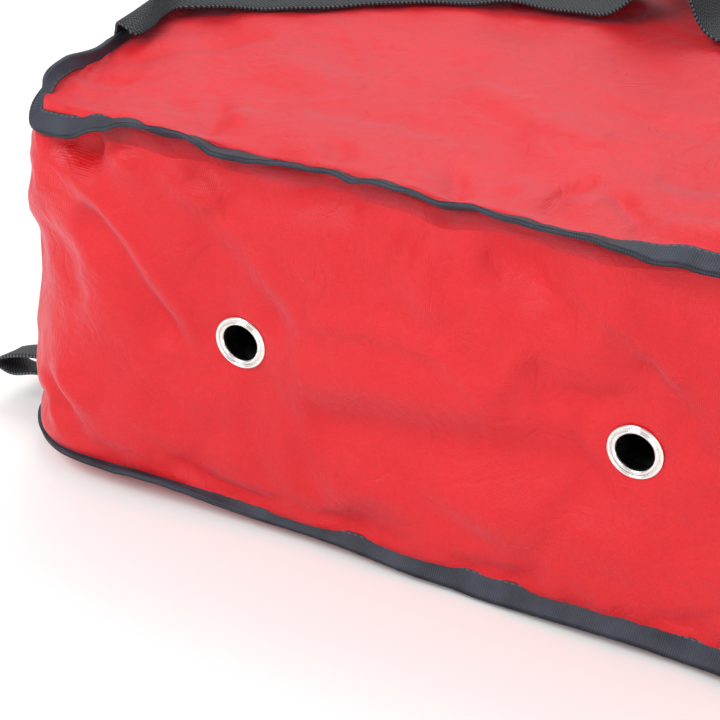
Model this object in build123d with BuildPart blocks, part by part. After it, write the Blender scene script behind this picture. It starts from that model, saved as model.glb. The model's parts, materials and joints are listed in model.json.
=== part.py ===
from build123d import *
import os

os.makedirs("parts", exist_ok=True)

# ---------------------------------------------------------------------------
# Soft padded carrier bag, closed by a rear flap and carried by two webbing
# handles.  Origin at the middle of the base, +Z up, the eyelet wall on -Y,
# the flap on +Y.  Millimetres.
# ---------------------------------------------------------------------------

# Main box
bag_length = 434.0          # X, across the eyelet wall
front_y = -250.0            # outer face of the eyelet wall
rear_y = 238.0              # plane of the opening
bag_height = 192.0          # Z
corner_r = 30.0             # rounded front corners of the side band

# Layers
skin_t = 1.5                # coated outer fabric
foam_t = 8.0                # closed-cell padding
lining_t = 1.0              # wipe-clean lining
board_t = 3.0               # stiff base board
base_foam_t = 6.0           # padding above the board
wall_t = skin_t + foam_t + lining_t
half_x = bag_length / 2
foam_joint_past = 5.0       # front foam runs this far past the corner
cut_over = 1.0              # cutting bodies run past what they cut
seat_gap = 0.1              # metal parts sit this far off the cloth

# Opening and flap
lip_height = 50.0           # fixed strip at the foot of the opening
strip_t = 1.2               # hook strip or loop strip
strip_width = 360.0
strip_height = 32.0
strip_low = 12.0
flap_gap = 0.3              # between the two closure strips
flap_foam_t = 6.0
flap_low = 4.0
flap_side_gap = 2.0         # flap is narrower than the bag at each end
flap_drop_gap = 4.0         # flap's top edge below the hinge line
flap_margin = 4.0           # foam and lining stop short of the flap's edges
tab_width = 30.0
tab_length = 34.0
tab_t = 2.2
tab_rise = 4.0              # tab's foot above the flap's lower edge

# Edge binding tape
binding_out = 2.0           # how far it stands out of the wall
binding_in = 2.5            # how far it reaches over the panel's face
binding_height = 6.0
binding_proud = 2.5         # rise above the top panel
edge_tape_t = 1.2           # tape folded over a raw edge
edge_tape_cover = 10.0
edge_tape_end_gap = 0.5     # opening tape stops short of the top binding
hinge_roll_r = 4.0          # rolled, bound seam between top and flap
hinge_end_gap = 6.0

# Vent eyelets in the front wall
eyelet_x = 96.0
eyelet_z = 97.0
eyelet_hole_r = 8.7
eyelet_barrel_r = 9.4
eyelet_cut_r = 9.6
eyelet_flange_r = 13.0
eyelet_flange_t = 1.6
eyelet_mouth = 0.7          # rounding into the hole: width, and depth
eyelet_mouth_depth = 0.5
eyelet_crown_in = 2.6       # crown of the flange, back from its rim, and its fall
eyelet_crown_drop = 0.3
eyelet_slope_in = 0.6       # outer slope, back from the rim, and its fall
eyelet_slope_drop = 0.9
eyelet_rim_in = 0.3
eyelet_rim_rise = 0.5
washer_t = 1.0
washer_bore_r = 9.5
wall_cut_ahead = 5.0        # hole cutters start ahead of the wall
wall_cut_length = 30.0

# Webbing
web_width = 40.0
web_t = 2.0
strap_y = 148.0             # handle anchors, ahead of and behind the middle
strap_low = 9.0
strap_top = 185.0
handle_z = 195.0            # underside of a handle lying on the top
handle_riser_gap = 1.2      # riser stands off the anchor strap it turns on
handle_riser_low = 182.0
handle_riser_width = 34.0
handle_riser_back = 6.0     # riser's outer edge, toward the middle from its hinge line
handle_axis_y = 150.0
hump_x = 16.0               # each handle stands up in a narrow hump here
hump_y = 24.0               # its centre line, ahead of or behind the middle
hump_r = 11.0
hump_straight = 30.0

# Small grab loops, low on both ends
loop_y = -207.0
loop_z = 24.0
loop_width = 25.0
loop_reach = 46.0
loop_t = 2.0
loop_gap = 9.0
loop_pivot_off = 2.4        # turning line off the patch
loop_neck = 8.0             # sewn length before the two layers part
loop_neck_gap_r = 0.8
loop_patch_t = 1.5
loop_patch_height = 34.0


def plan_outline(inset, back_y):
    """Plan of the box at a distance inside its outer face, open side at back_y."""
    radius = max(corner_r - inset, 2.0)
    left = -half_x + inset
    right = half_x - inset
    front = front_y + inset
    with BuildLine() as outline:
        Line((left, back_y), (left, front + radius))
        RadiusArc((left, front + radius), (left + radius, front), -radius)
        Line((left + radius, front), (right - radius, front))
        RadiusArc((right - radius, front), (right, front + radius), -radius)
        Line((right, front + radius), (right, back_y))
        Line((right, back_y), (left, back_y))
    return outline.line


def slab(inset, back_y, low, thickness):
    """Flat panel that follows the box's plan."""
    with BuildPart() as panel:
        with BuildSketch(Plane.XY.offset(low)):
            with BuildLine():
                add(plan_outline(inset, back_y))
            make_face()
        extrude(amount=thickness)
    return panel


def band(outer_inset, inner_inset, back_y, low, high):
    """Upright U-shaped layer between two insets, open at the back."""
    with BuildPart() as layer:
        with BuildSketch(Plane.XY.offset(low)):
            with BuildLine():
                add(plan_outline(outer_inset, back_y))
            make_face()
            with BuildLine():
                add(plan_outline(inner_inset, back_y + cut_over))
            make_face(mode=Mode.SUBTRACT)
        extrude(amount=high - low)
    return layer


def eyelet_cutters(radius):
    """Two round bars through the front wall, to be cut away."""
    with BuildPart() as bars:
        with BuildSketch(Plane.XZ.offset(-front_y + wall_cut_ahead)):
            with Locations((-eyelet_x, eyelet_z), (eyelet_x, eyelet_z)):
                Circle(radius)
        extrude(amount=-wall_cut_length)
    return bars.part


def brick(low, high):
    """Plain block between two corners, as a closed solid."""
    with BuildPart() as block:
        with Locations(tuple((a + b) / 2 for a, b in zip(low, high))):
            Box(*(b - a for a, b in zip(low, high)))
    return block


def save(part, name):
    """Label a finished piece and write its file."""
    part.label = name
    export_step(part, f"parts/{name}.step")


inner_inset = skin_t + foam_t
top_skin_z = bag_height - skin_t
top_foam_z = top_skin_z - foam_t
top_lining_z = top_foam_z - lining_t
board_z = skin_t
base_foam_z = board_z + board_t
base_lining_z = base_foam_z + base_foam_t
base_top_z = base_lining_z + lining_t

# ---------------------------------------------------------------------------
# Base: outer skin, board, padding, lining
# ---------------------------------------------------------------------------
outer_bottom = slab(0.0, rear_y, 0.0, skin_t)
save(outer_bottom.part, "outer_bottom")

base_board = slab(inner_inset, rear_y - wall_t, board_z, board_t)
save(base_board.part, "base_board")

foam_bottom = slab(inner_inset, rear_y - wall_t, base_foam_z, base_foam_t)
save(foam_bottom.part, "foam_bottom")

lining_bottom = slab(inner_inset, rear_y - wall_t, base_lining_z, lining_t)
save(lining_bottom.part, "lining_bottom")

# ---------------------------------------------------------------------------
# Top: outer skin, padding, lining
# ---------------------------------------------------------------------------
outer_top = slab(0.0, rear_y, top_skin_z, skin_t)
save(outer_top.part, "outer_top")

foam_top = slab(inner_inset, rear_y, top_foam_z, foam_t)
save(foam_top.part, "foam_top")

lining_top = slab(inner_inset, rear_y, top_lining_z, lining_t)
save(lining_top.part, "lining_top")

# ---------------------------------------------------------------------------
# Side band: one strip of skin round three walls, three foam panels, lining
# ---------------------------------------------------------------------------
with BuildPart() as outer_band:
    add(band(0.0, skin_t, rear_y, skin_t, top_skin_z).part)
    add(eyelet_cutters(eyelet_cut_r), mode=Mode.SUBTRACT)
save(outer_band.part, "outer_band")

with BuildPart() as lining_band:
    add(band(inner_inset, wall_t, rear_y, base_top_z, top_lining_z).part)
    add(eyelet_cutters(eyelet_cut_r), mode=Mode.SUBTRACT)
save(lining_band.part, "lining_band")

foam_split_y = front_y + corner_r + foam_joint_past
with BuildPart() as foam_front:
    add(band(skin_t, inner_inset, rear_y, skin_t, top_skin_z).part)
    with Locations((0, (foam_split_y + rear_y + cut_over) / 2, bag_height / 2)):
        Box(bag_length, rear_y + cut_over - foam_split_y, bag_height, mode=Mode.SUBTRACT)
    add(eyelet_cutters(eyelet_cut_r), mode=Mode.SUBTRACT)
save(foam_front.part, "foam_front")

for side_name, side in (("foam_left", -1), ("foam_right", 1)):
    low_x = min(side * (half_x - skin_t), side * (half_x - inner_inset))
    foam_side = brick(
        (low_x, foam_split_y, skin_t), (low_x + foam_t, rear_y, top_skin_z)
    )
    save(foam_side.part, side_name)

# ---------------------------------------------------------------------------
# Rear lip: the short fixed wall below the opening
# ---------------------------------------------------------------------------
rear_lip_outer = brick(
    (-half_x, rear_y, 0.0), (half_x, rear_y + skin_t, lip_height)
)
save(rear_lip_outer.part, "rear_lip_outer")

lip_half = half_x - wall_t
rear_lip_foam = brick(
    (-lip_half, rear_y - foam_t, skin_t), (lip_half, rear_y, lip_height)
)
save(rear_lip_foam.part, "rear_lip_foam")

rear_lip_lining = brick(
    (-lip_half, rear_y - foam_t - lining_t, base_top_z),
    (lip_half, rear_y - foam_t, lip_height),
)
save(rear_lip_lining.part, "rear_lip_lining")

strip_face_y = rear_y + skin_t
closure_loop_strip = brick(
    (-strip_width / 2, strip_face_y, strip_low),
    (strip_width / 2, strip_face_y + strip_t, strip_low + strip_height),
)
save(closure_loop_strip.part, "closure_loop_strip")

# ---------------------------------------------------------------------------
# Binding tape along the sewn edges
# ---------------------------------------------------------------------------


def rim_binding(low, high):
    """Raised tape round the front and both ends, outside the panels."""
    with BuildPart() as tape:
        add(band(-binding_out, binding_in, rear_y, low, high).part)
    return tape


with BuildPart() as binding_top:
    add(rim_binding(bag_height - binding_height, bag_height + binding_proud).part)
    add(slab(0.0, rear_y + cut_over, 0.0, bag_height).part, mode=Mode.SUBTRACT)
save(binding_top.part, "binding_top")

with BuildPart() as binding_bottom:
    add(rim_binding(0.0, binding_height).part)
    add(slab(0.0, rear_y + cut_over, -cut_over, bag_height).part, mode=Mode.SUBTRACT)
save(binding_bottom.part, "binding_bottom")

tape_front_y = rear_y - edge_tape_cover
tape_low = lip_height + edge_tape_t
tape_high = bag_height - binding_height - edge_tape_end_gap
with BuildPart() as binding_opening:
    for side in (-1, 1):
        inner_x = side * (half_x - wall_t - edge_tape_t)
        outer_x = side * (half_x + edge_tape_t)
        with Locations((
            (inner_x + outer_x) / 2,
            (tape_front_y + rear_y + edge_tape_t) / 2,
            (tape_low + tape_high) / 2,
        )):
            Box(
                abs(outer_x - inner_x),
                edge_tape_cover + edge_tape_t,
                tape_high - tape_low,
            )
    with Locations((
        0,
        (tape_front_y + rear_y + edge_tape_t) / 2,
        (top_lining_z - edge_tape_t + tape_high) / 2,
    )):
        Box(
            bag_length - 2 * wall_t,
            edge_tape_cover + edge_tape_t,
            tape_high - top_lining_z + edge_tape_t,
        )
    for taken in (outer_band, foam_top, lining_top, lining_band):
        add(taken.part, mode=Mode.SUBTRACT)
    for side in (-1, 1):
        with Locations((side * (half_x - skin_t - foam_t / 2), 0, bag_height / 2)):
            Box(foam_t, 2 * rear_y, bag_height, mode=Mode.SUBTRACT)
save(binding_opening.part, "binding_opening")

# The rolled seam where the flap is sewn to the top
hinge_y = rear_y + skin_t + 2 * strip_t + flap_gap + lining_t + flap_foam_t + skin_t
hinge_z = bag_height - hinge_roll_r
hinge_half = half_x - hinge_end_gap
with BuildPart() as hinge_seam:
    with BuildSketch(Plane.YZ.offset(-hinge_half)):
        with Locations((hinge_y, hinge_z)):
            Circle(hinge_roll_r)
        with Locations(((rear_y + hinge_y) / 2, bag_height - skin_t / 2)):
            Rectangle(hinge_y - rear_y, skin_t)
    extrude(amount=2 * hinge_half)
save(hinge_seam.part, "hinge_seam")

# ---------------------------------------------------------------------------
# Vent eyelets with their backing washers
# ---------------------------------------------------------------------------
wall_inside_y = front_y + wall_t
flange_back_y = front_y - seat_gap
flange_front_y = flange_back_y - eyelet_flange_t
washer_y = wall_inside_y + seat_gap
barrel_end_y = washer_y + washer_t
for side_name, side in (("left", -1), ("right", 1)):
    with BuildPart() as eyelet:
        with BuildSketch(Plane.XY):
            with BuildLine():
                Polyline(
                    (eyelet_hole_r, flange_front_y + eyelet_mouth_depth),
                    (eyelet_hole_r + eyelet_mouth, flange_front_y),
                    (eyelet_flange_r - eyelet_crown_in, flange_front_y + eyelet_crown_drop),
                    (eyelet_flange_r - eyelet_slope_in, flange_front_y + eyelet_slope_drop),
                    (eyelet_flange_r, flange_back_y - eyelet_rim_rise),
                    (eyelet_flange_r - eyelet_rim_in, flange_back_y),
                    (eyelet_barrel_r, flange_back_y),
                    (eyelet_barrel_r, barrel_end_y),
                    (eyelet_hole_r, barrel_end_y),
                    close=True,
                )
            make_face()
        revolve(axis=Axis.Y)
    placed_eyelet = Pos(side * eyelet_x, 0, eyelet_z) * eyelet.part
    save(placed_eyelet, f"eyelet_{side_name}")

    with BuildPart() as washer:
        with BuildSketch(Plane.XZ.offset(-washer_y)):
            with Locations((side * eyelet_x, eyelet_z)):
                Circle(eyelet_flange_r)
                Circle(washer_bore_r, mode=Mode.SUBTRACT)
        extrude(amount=-washer_t)
    save(washer.part, f"eyelet_washer_{side_name}")

# ---------------------------------------------------------------------------
# Webbing sewn down both ends: four anchor straps
# ---------------------------------------------------------------------------
for row_name, row_y in (("front", -strap_y), ("rear", strap_y)):
    for side_name, side in (("left", -1), ("right", 1)):
        inner = side * half_x
        outer = side * (half_x + web_t)
        anchor_strap = brick(
            (min(inner, outer), row_y - web_width / 2, strap_low),
            (max(inner, outer), row_y + web_width / 2, strap_top),
        )
        save(anchor_strap.part, f"anchor_strap_{row_name}_{side_name}")

# ---------------------------------------------------------------------------
# Handles: one webbing each, lying slack on the top and meeting at the middle
# ---------------------------------------------------------------------------
riser_x = half_x + web_t + handle_riser_gap
run_overshoot = 20.0        # trimmed off square at the risers
run_points = (
    (-riser_x - run_overshoot, 130.0),
    (-riser_x + 4.0, 122.0),
    (-190.0, 98.0),
    (-143.0, 64.0),
    (-65.0, 36.0),
    (-24.0, 26.0),
    (hump_x - hump_r, hump_y),
    (hump_x + hump_r, hump_y),
    (62.0, 29.0),
    (105.0, 42.0),
    (150.0, 68.0),
    (190.0, 98.0),
    (riser_x - 4.0, 122.0),
    (riser_x + run_overshoot, 130.0),
)
for row_name, row in (("front", -1), ("rear", 1)):
    near_y = row * (handle_axis_y - handle_riser_back)
    far_y = near_y - row * handle_riser_width
    with BuildPart() as handle:
        with BuildSketch(Plane.XY.offset(handle_z)):
            with BuildLine():
                run = Polyline(*[(x, row * y) for x, y in run_points])
                offset(run, amount=web_width / 2, side=Side.BOTH, kind=Kind.INTERSECTION)
            make_face()
        extrude(amount=web_t)
        with Locations((hump_x, row * hump_y, handle_z)):
            Box(2 * hump_r, 3 * web_width, 4 * web_t, mode=Mode.SUBTRACT)
        with BuildSketch(Plane.XZ.offset(-row * hump_y - web_width / 2)):
            with Locations((hump_x, handle_z + hump_straight)):
                Circle(hump_r + web_t / 2)
            with Locations((hump_x, handle_z + hump_straight / 2)):
                Rectangle(2 * hump_r + web_t, hump_straight)
                Rectangle(2 * hump_r - web_t, hump_straight, mode=Mode.SUBTRACT)
            with Locations((hump_x, handle_z + hump_straight)):
                Circle(hump_r - web_t / 2, mode=Mode.SUBTRACT)
        extrude(amount=web_width)
        for side in (-1, 1):
            with Locations((side * (riser_x + web_t + 2 * run_overshoot), 0, handle_z)):
                Box(4 * run_overshoot, bag_length, bag_height, mode=Mode.SUBTRACT)
            add(
                brick(
                    (min(side * riser_x, side * (riser_x + web_t)),
                     min(near_y, far_y), handle_riser_low),
                    (max(side * riser_x, side * (riser_x + web_t)),
                     max(near_y, far_y), handle_z + web_t),
                ).part
            )
    save(handle.part, f"handle_{row_name}")

# ---------------------------------------------------------------------------
# Grab loops low on both ends, each on a sewn patch
# ---------------------------------------------------------------------------
for side_name, side in (("left", -1), ("right", 1)):
    face_x = side * half_x
    patch = brick(
        (min(face_x, face_x + side * loop_patch_t), loop_y - loop_width / 2,
         loop_z - loop_patch_height / 2),
        (max(face_x, face_x + side * loop_patch_t), loop_y + loop_width / 2,
         loop_z + loop_patch_height / 2),
    )
    save(patch.part, f"loop_patch_{side_name}")

    pivot_x = face_x + side * (loop_patch_t + loop_pivot_off)
    nose_r = loop_gap / 2 + loop_t
    nose_x = face_x + side * (loop_reach - nose_r)
    with BuildPart() as grab_loop:
        with BuildSketch(Plane.XZ.offset(-loop_y - loop_width / 2)):
            with BuildSketch(mode=Mode.PRIVATE) as loop_solid:
                with Locations((pivot_x, loop_z)):
                    Circle(loop_t)
                with Locations((nose_x, loop_z)):
                    Circle(nose_r)
                make_hull()
            with BuildSketch(mode=Mode.PRIVATE) as loop_hole:
                with Locations((pivot_x + side * loop_neck, loop_z)):
                    Circle(loop_neck_gap_r)
                with Locations((nose_x, loop_z)):
                    Circle(loop_gap / 2)
                make_hull()
            add(loop_solid.sketch)
            add(loop_hole.sketch, mode=Mode.SUBTRACT)
        extrude(amount=loop_width)
    save(grab_loop.part, f"grab_loop_{side_name}")

# ---------------------------------------------------------------------------
# Rear flap: closure strip, lining, padding, skin, binding and pull tab
# ---------------------------------------------------------------------------
hook_y = rear_y + skin_t + strip_t + flap_gap
flap_lining_y = hook_y + strip_t
flap_foam_y = flap_lining_y + lining_t
flap_skin_y = flap_foam_y + flap_foam_t
flap_back_y = flap_skin_y + skin_t
flap_top_z = hinge_z - hinge_roll_r - flap_drop_gap
flap_half = half_x - flap_side_gap

closure_hook_strip = brick(
    (-strip_width / 2, hook_y, strip_low),
    (strip_width / 2, hook_y + strip_t, strip_low + strip_height),
)
save(closure_hook_strip.part, "closure_hook_strip")

foam_half = flap_half - flap_margin
flap_lining = brick(
    (-foam_half, flap_lining_y, flap_low + flap_margin),
    (foam_half, flap_foam_y, flap_top_z),
)
save(flap_lining.part, "flap_lining")

flap_foam = brick(
    (-foam_half, flap_foam_y, flap_low + flap_margin),
    (foam_half, flap_skin_y, flap_top_z),
)
save(flap_foam.part, "flap_foam")

flap_outer = brick(
    (-foam_half, flap_skin_y, flap_low + flap_margin),
    (foam_half, flap_back_y, flap_top_z),
)
save(flap_outer.part, "flap_outer")

with BuildPart() as flap_binding:
    with Locations((
        0, (flap_lining_y + flap_back_y) / 2, (flap_low + flap_top_z) / 2
    )):
        Box(2 * flap_half, flap_back_y - flap_lining_y, flap_top_z - flap_low)
    with Locations((
        0,
        (flap_lining_y + flap_back_y) / 2,
        (flap_low + flap_margin + flap_top_z + cut_over) / 2,
    )):
        Box(
            2 * foam_half,
            flap_back_y - flap_lining_y + cut_over,
            flap_top_z + cut_over - flap_low - flap_margin,
            mode=Mode.SUBTRACT,
        )
save(flap_binding.part, "flap_binding")

pull_tab = brick(
    (-tab_width / 2, flap_back_y, flap_low + tab_rise),
    (tab_width / 2, flap_back_y + tab_t, flap_low + tab_rise + tab_length),
)
save(pull_tab.part, "pull_tab")
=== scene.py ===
import json
import math

import bmesh
import bpy
import numpy as np
from mathutils import Matrix, Vector


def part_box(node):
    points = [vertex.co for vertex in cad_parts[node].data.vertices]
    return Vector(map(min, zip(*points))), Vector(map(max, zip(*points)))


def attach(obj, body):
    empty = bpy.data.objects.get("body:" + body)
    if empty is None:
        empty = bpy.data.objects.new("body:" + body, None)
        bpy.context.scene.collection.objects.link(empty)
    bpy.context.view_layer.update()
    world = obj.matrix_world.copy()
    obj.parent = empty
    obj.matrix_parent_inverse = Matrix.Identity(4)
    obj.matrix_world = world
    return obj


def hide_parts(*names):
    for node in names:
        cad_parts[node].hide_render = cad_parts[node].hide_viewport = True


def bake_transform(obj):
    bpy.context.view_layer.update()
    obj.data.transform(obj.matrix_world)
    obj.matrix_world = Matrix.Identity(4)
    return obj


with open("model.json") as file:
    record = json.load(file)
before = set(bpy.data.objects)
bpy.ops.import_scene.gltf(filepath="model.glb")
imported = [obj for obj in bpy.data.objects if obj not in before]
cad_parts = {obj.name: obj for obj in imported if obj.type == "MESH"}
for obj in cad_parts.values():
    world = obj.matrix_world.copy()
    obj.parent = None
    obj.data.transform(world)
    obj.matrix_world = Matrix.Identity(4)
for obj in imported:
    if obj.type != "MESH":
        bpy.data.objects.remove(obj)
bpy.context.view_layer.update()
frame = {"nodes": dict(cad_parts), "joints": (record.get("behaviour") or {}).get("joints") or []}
scene = bpy.context.scene

# ---------------------------------------------------------------------------
# Sizes, in metres, from the frame
# ---------------------------------------------------------------------------
MM = 0.001
band_low, band_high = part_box("outer_band")
top_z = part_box("outer_top")[1].z
half_x = band_high.x
front_y = band_low.y
rear_y = band_high.y
corner_r = 30 * MM
wall_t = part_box("lining_band")[0].y + 1 * MM - front_y
cavity_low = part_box("lining_bottom")[1].z
cavity_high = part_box("lining_top")[0].z
seam_low_z = 8.5 * MM           # the base seam, above the floor
cell = 5.0 * MM                 # grid spacing of the fabric shell
eyelet_hole = 8.7 * MM          # radius of an eyelet's bore
cloth_hole = 11.0 * MM          # radius of the openings cut in the cloth under the flange
tape_step = 2.0 * MM            # spacing of the places along the bound seams
tape_root = 2.5 * MM            # how far a seam's tape starts inside its seam

eyelets = {
    side: (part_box(f"eyelet_{side}")[0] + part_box(f"eyelet_{side}")[1]) / 2
    for side in ("left", "right")
}
joints = {j["name"]: j for j in frame["joints"]}


# ---------------------------------------------------------------------------
# Mesh helpers
# ---------------------------------------------------------------------------
def link(name, verts, faces, uv=None):
    """New mesh object at the origin; uv holds one pair for each vertex."""
    mesh = bpy.data.meshes.new(name)
    mesh.from_pydata(np.asarray(verts, float).tolist(), [], [list(map(int, f)) for f in faces])
    mesh.validate()
    if uv is not None:
        layer = mesh.uv_layers.new(name="UVMap")
        corners = np.zeros(len(mesh.loops), np.int32)
        mesh.loops.foreach_get("vertex_index", corners)
        layer.data.foreach_set("uv", np.asarray(uv, np.float32)[corners].ravel())
    mesh.polygons.foreach_set("use_smooth", [True] * len(mesh.polygons))
    mesh.update()
    piece = bpy.data.objects.new(name, mesh)
    scene.collection.objects.link(piece)
    return piece


def grid_faces(rows, columns, first=0, wrap=False):
    """Quads of a grid whose points run row by row; wrap joins the last column to the first."""
    last = columns if wrap else columns - 1
    r, c = np.meshgrid(np.arange(rows - 1), np.arange(last), indexing="ij")
    nxt = (c + 1) % columns
    quads = np.stack(
        [r * columns + c, r * columns + nxt, (r + 1) * columns + nxt, (r + 1) * columns + c], -1
    )
    return quads.reshape(-1, 4) + first


def catmull(points, step):
    """Smooth curve through a few points, by centripetal cubic pieces, resampled at an even step."""
    p = np.asarray(points, float)
    ends = np.vstack([2 * p[0] - p[1], p, 2 * p[-1] - p[-2]])
    t = np.linspace(0, 1, 24, endpoint=False)[:, None]
    pieces = []
    for a, b, c, d in zip(ends[:-3], ends[1:-2], ends[2:-1], ends[3:]):
        pieces.append(
            0.5
            * (2 * b + (c - a) * t + (2 * a - 5 * b + 4 * c - d) * t**2 + (3 * b - a - 3 * c + d) * t**3)
        )
    fine = np.vstack(pieces + [p[-1:]])
    run = np.r_[0, np.cumsum(np.linalg.norm(np.diff(fine[:, :3], axis=0), axis=1))]
    at = np.linspace(0, run[-1], max(int(round(run[-1] / step)), 2) + 1)
    return np.stack([np.interp(at, run, fine[:, k]) for k in range(fine.shape[1])], 1)


def unit(v):
    """Each row scaled to length one."""
    return v / np.maximum(np.linalg.norm(v, axis=-1, keepdims=True), 1e-12)


def tape_section(width, thick, count=5):
    """Closed outline of a flat tape: a rectangle with round edges, as (across, out) pairs."""
    r = thick / 2
    turn = np.linspace(-math.pi / 2, math.pi / 2, count)
    right = np.stack([width / 2 - r + r * np.cos(turn), r * np.sin(turn)], 1)
    top = np.stack([np.linspace(width / 2 - r, r - width / 2, 9)[1:-1], np.full(7, r)], 1)
    left = np.stack([r - width / 2 - r * np.cos(turn), -r * np.sin(turn)], 1)
    low = np.stack([np.linspace(r - width / 2, width / 2 - r, 9)[1:-1], np.full(7, -r)], 1)
    return np.vstack([right, top, left, low])


def sweep(name, path, across, section, square=True):
    """A closed tape along a path: each section point is placed by the across direction and the
    direction square to both the path and across. Unless square, the across direction is kept
    as given, so that the tape skews where it turns in its own plane."""
    path = np.asarray(path, float)
    tangent = unit(np.gradient(path, axis=0))
    if square:
        across = across - (across * tangent).sum(1, keepdims=True) * tangent
    across = unit(across)
    out = unit(np.cross(across, tangent))
    section = np.asarray(section, float)
    a, b = section[:, 0], section[:, 1]
    verts = path[:, None] + a[None, :, None] * across[:, None] + b[None, :, None] * out[:, None]
    n, m = len(path), len(section)
    faces = tube_faces(n, m)
    run = run_along(path)
    uv = np.stack(np.broadcast_arrays(run[:, None], a[None]), -1).reshape(-1, 2)
    piece = link(name, verts.reshape(-1, 3), faces, uv)
    fix_normals(piece)
    return piece


def tube_faces(rows, columns):
    """Quads round a tube whose rings run row by row, and a face over each of its ends."""
    faces = grid_faces(rows, columns, wrap=True).tolist()
    faces.append(list(range(columns))[::-1])
    faces.append([(rows - 1) * columns + k for k in range(columns)])
    return faces


def run_along(points):
    """Distance along a line at each of its points."""
    return np.r_[0, np.cumsum(np.linalg.norm(np.diff(points, axis=0), axis=1))]


def level_line(low_x, high_x, y, z, count):
    """Evenly set places along X at one y and z."""
    return np.stack([np.linspace(low_x, high_x, count), np.full(count, y), np.full(count, z)], 1)


def subdivide(piece):
    """One level of smooth subdivision, the same in the viewport and the render."""
    smooth = piece.modifiers.new("Subdivision", "SUBSURF")
    smooth.levels = smooth.render_levels = 1


def thicken(piece, thickness, offset):
    """Give a sheet its thickness, on both sides of it at offset 0 and inside it at -1."""
    thick = piece.modifiers.new("Thickness", "SOLIDIFY")
    thick.thickness = thickness
    thick.offset = offset


def belongs(piece, body, slot, *nodes):
    """Carry a piece on its body and let it stand for the named nodes; the slot is not used."""
    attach(piece, body)
    if nodes:
        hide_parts(*nodes)
    return piece


def fix_normals(piece):
    """Turn every face of a closed mesh outwards."""
    work = bmesh.new()
    work.from_mesh(piece.data)
    bmesh.ops.recalc_face_normals(work, faces=work.faces)
    work.to_mesh(piece.data)
    work.free()


def apply_modifiers(piece):
    """Replace the mesh by what its modifiers make of it."""
    bpy.context.view_layer.update()
    graph = bpy.context.evaluated_depsgraph_get()
    mesh = bpy.data.meshes.new_from_object(
        piece.evaluated_get(graph), preserve_all_data_layers=True, depsgraph=graph
    )
    piece.modifiers.clear()
    piece.data = mesh


def coordinates(piece):
    """The mesh's points as an array."""
    co = np.zeros(len(piece.data.vertices) * 3, np.float32)
    piece.data.vertices.foreach_get("co", co)
    return co.reshape(-1, 3).astype(float)


def set_coordinates(piece, co):
    """Put an array of points back in the mesh."""
    piece.data.vertices.foreach_set("co", np.asarray(co, np.float32).ravel())
    piece.data.update()


def smoothstep(value, low, high):
    """Rises from 0 at low to 1 at high with level ends."""
    t = np.clip((value - low) / (high - low), 0, 1)
    return t * t * (3 - 2 * t)


def waves(points, seed, size, count=24):
    """Soft random field between about -1 and 1: a sum of sine waves whose directions, lengths
    (near size) and phases come from a seeded draw."""
    draw = np.random.default_rng(seed)
    direction = unit(draw.normal(size=(count, points.shape[1])))
    number = 2 * math.pi / (size * draw.uniform(0.6, 1.7, count))
    phase = draw.uniform(0, 2 * math.pi, count)
    return np.sin(points @ (direction * number[:, None]).T + phase).sum(1) / math.sqrt(count)


def fold(points, line, width, fade=0.012):
    """1 on a line through a few places and 0 well off it: a bell across the line, whose width
    is given, and a soft fade near the line's two ends."""
    line = np.asarray(line, float)
    best = np.full(len(points), np.inf)
    run = np.zeros(len(points))
    start = 0.0
    for a, b in zip(line[:-1], line[1:]):
        along = b - a
        length = np.linalg.norm(along)
        t = ((points - a) @ along) / length**2
        off = np.linalg.norm(points - a - np.clip(t, 0, 1)[:, None] * along, axis=1)
        nearer = off < best
        best = np.where(nearer, off, best)
        run = np.where(nearer, start + np.clip(t, 0, 1) * length, run)
        start += length
    ends = smoothstep(run, -0.2 * fade, fade) * smoothstep(start - run, -0.2 * fade, fade)
    return np.exp(-((best / width) ** 2)) * ends


def crumple(points, seed, size):
    """Network of narrow ridges, as in a coated cloth that was folded: one less the absolute
    value of a warped wave field, cubed, which peaks along the field's zero lines."""
    shift = np.stack([waves(points, seed + k, 1.6 * size, 12) for k in (1, 2, 3)], 1)
    field = waves(points + 0.30 * size * shift, seed, size)
    return np.clip(1 - np.abs(field), 0, 1) ** 3


def gap_to(points, line):
    """Distance from each point to the nearest place of a densely set line."""
    best = np.zeros(len(points))
    for k in range(0, len(points), 5000):
        part = points[k : k + 5000, None] - line[None]
        best[k : k + 5000] = np.sqrt((part**2).sum(2).min(1))
    return best


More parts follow.
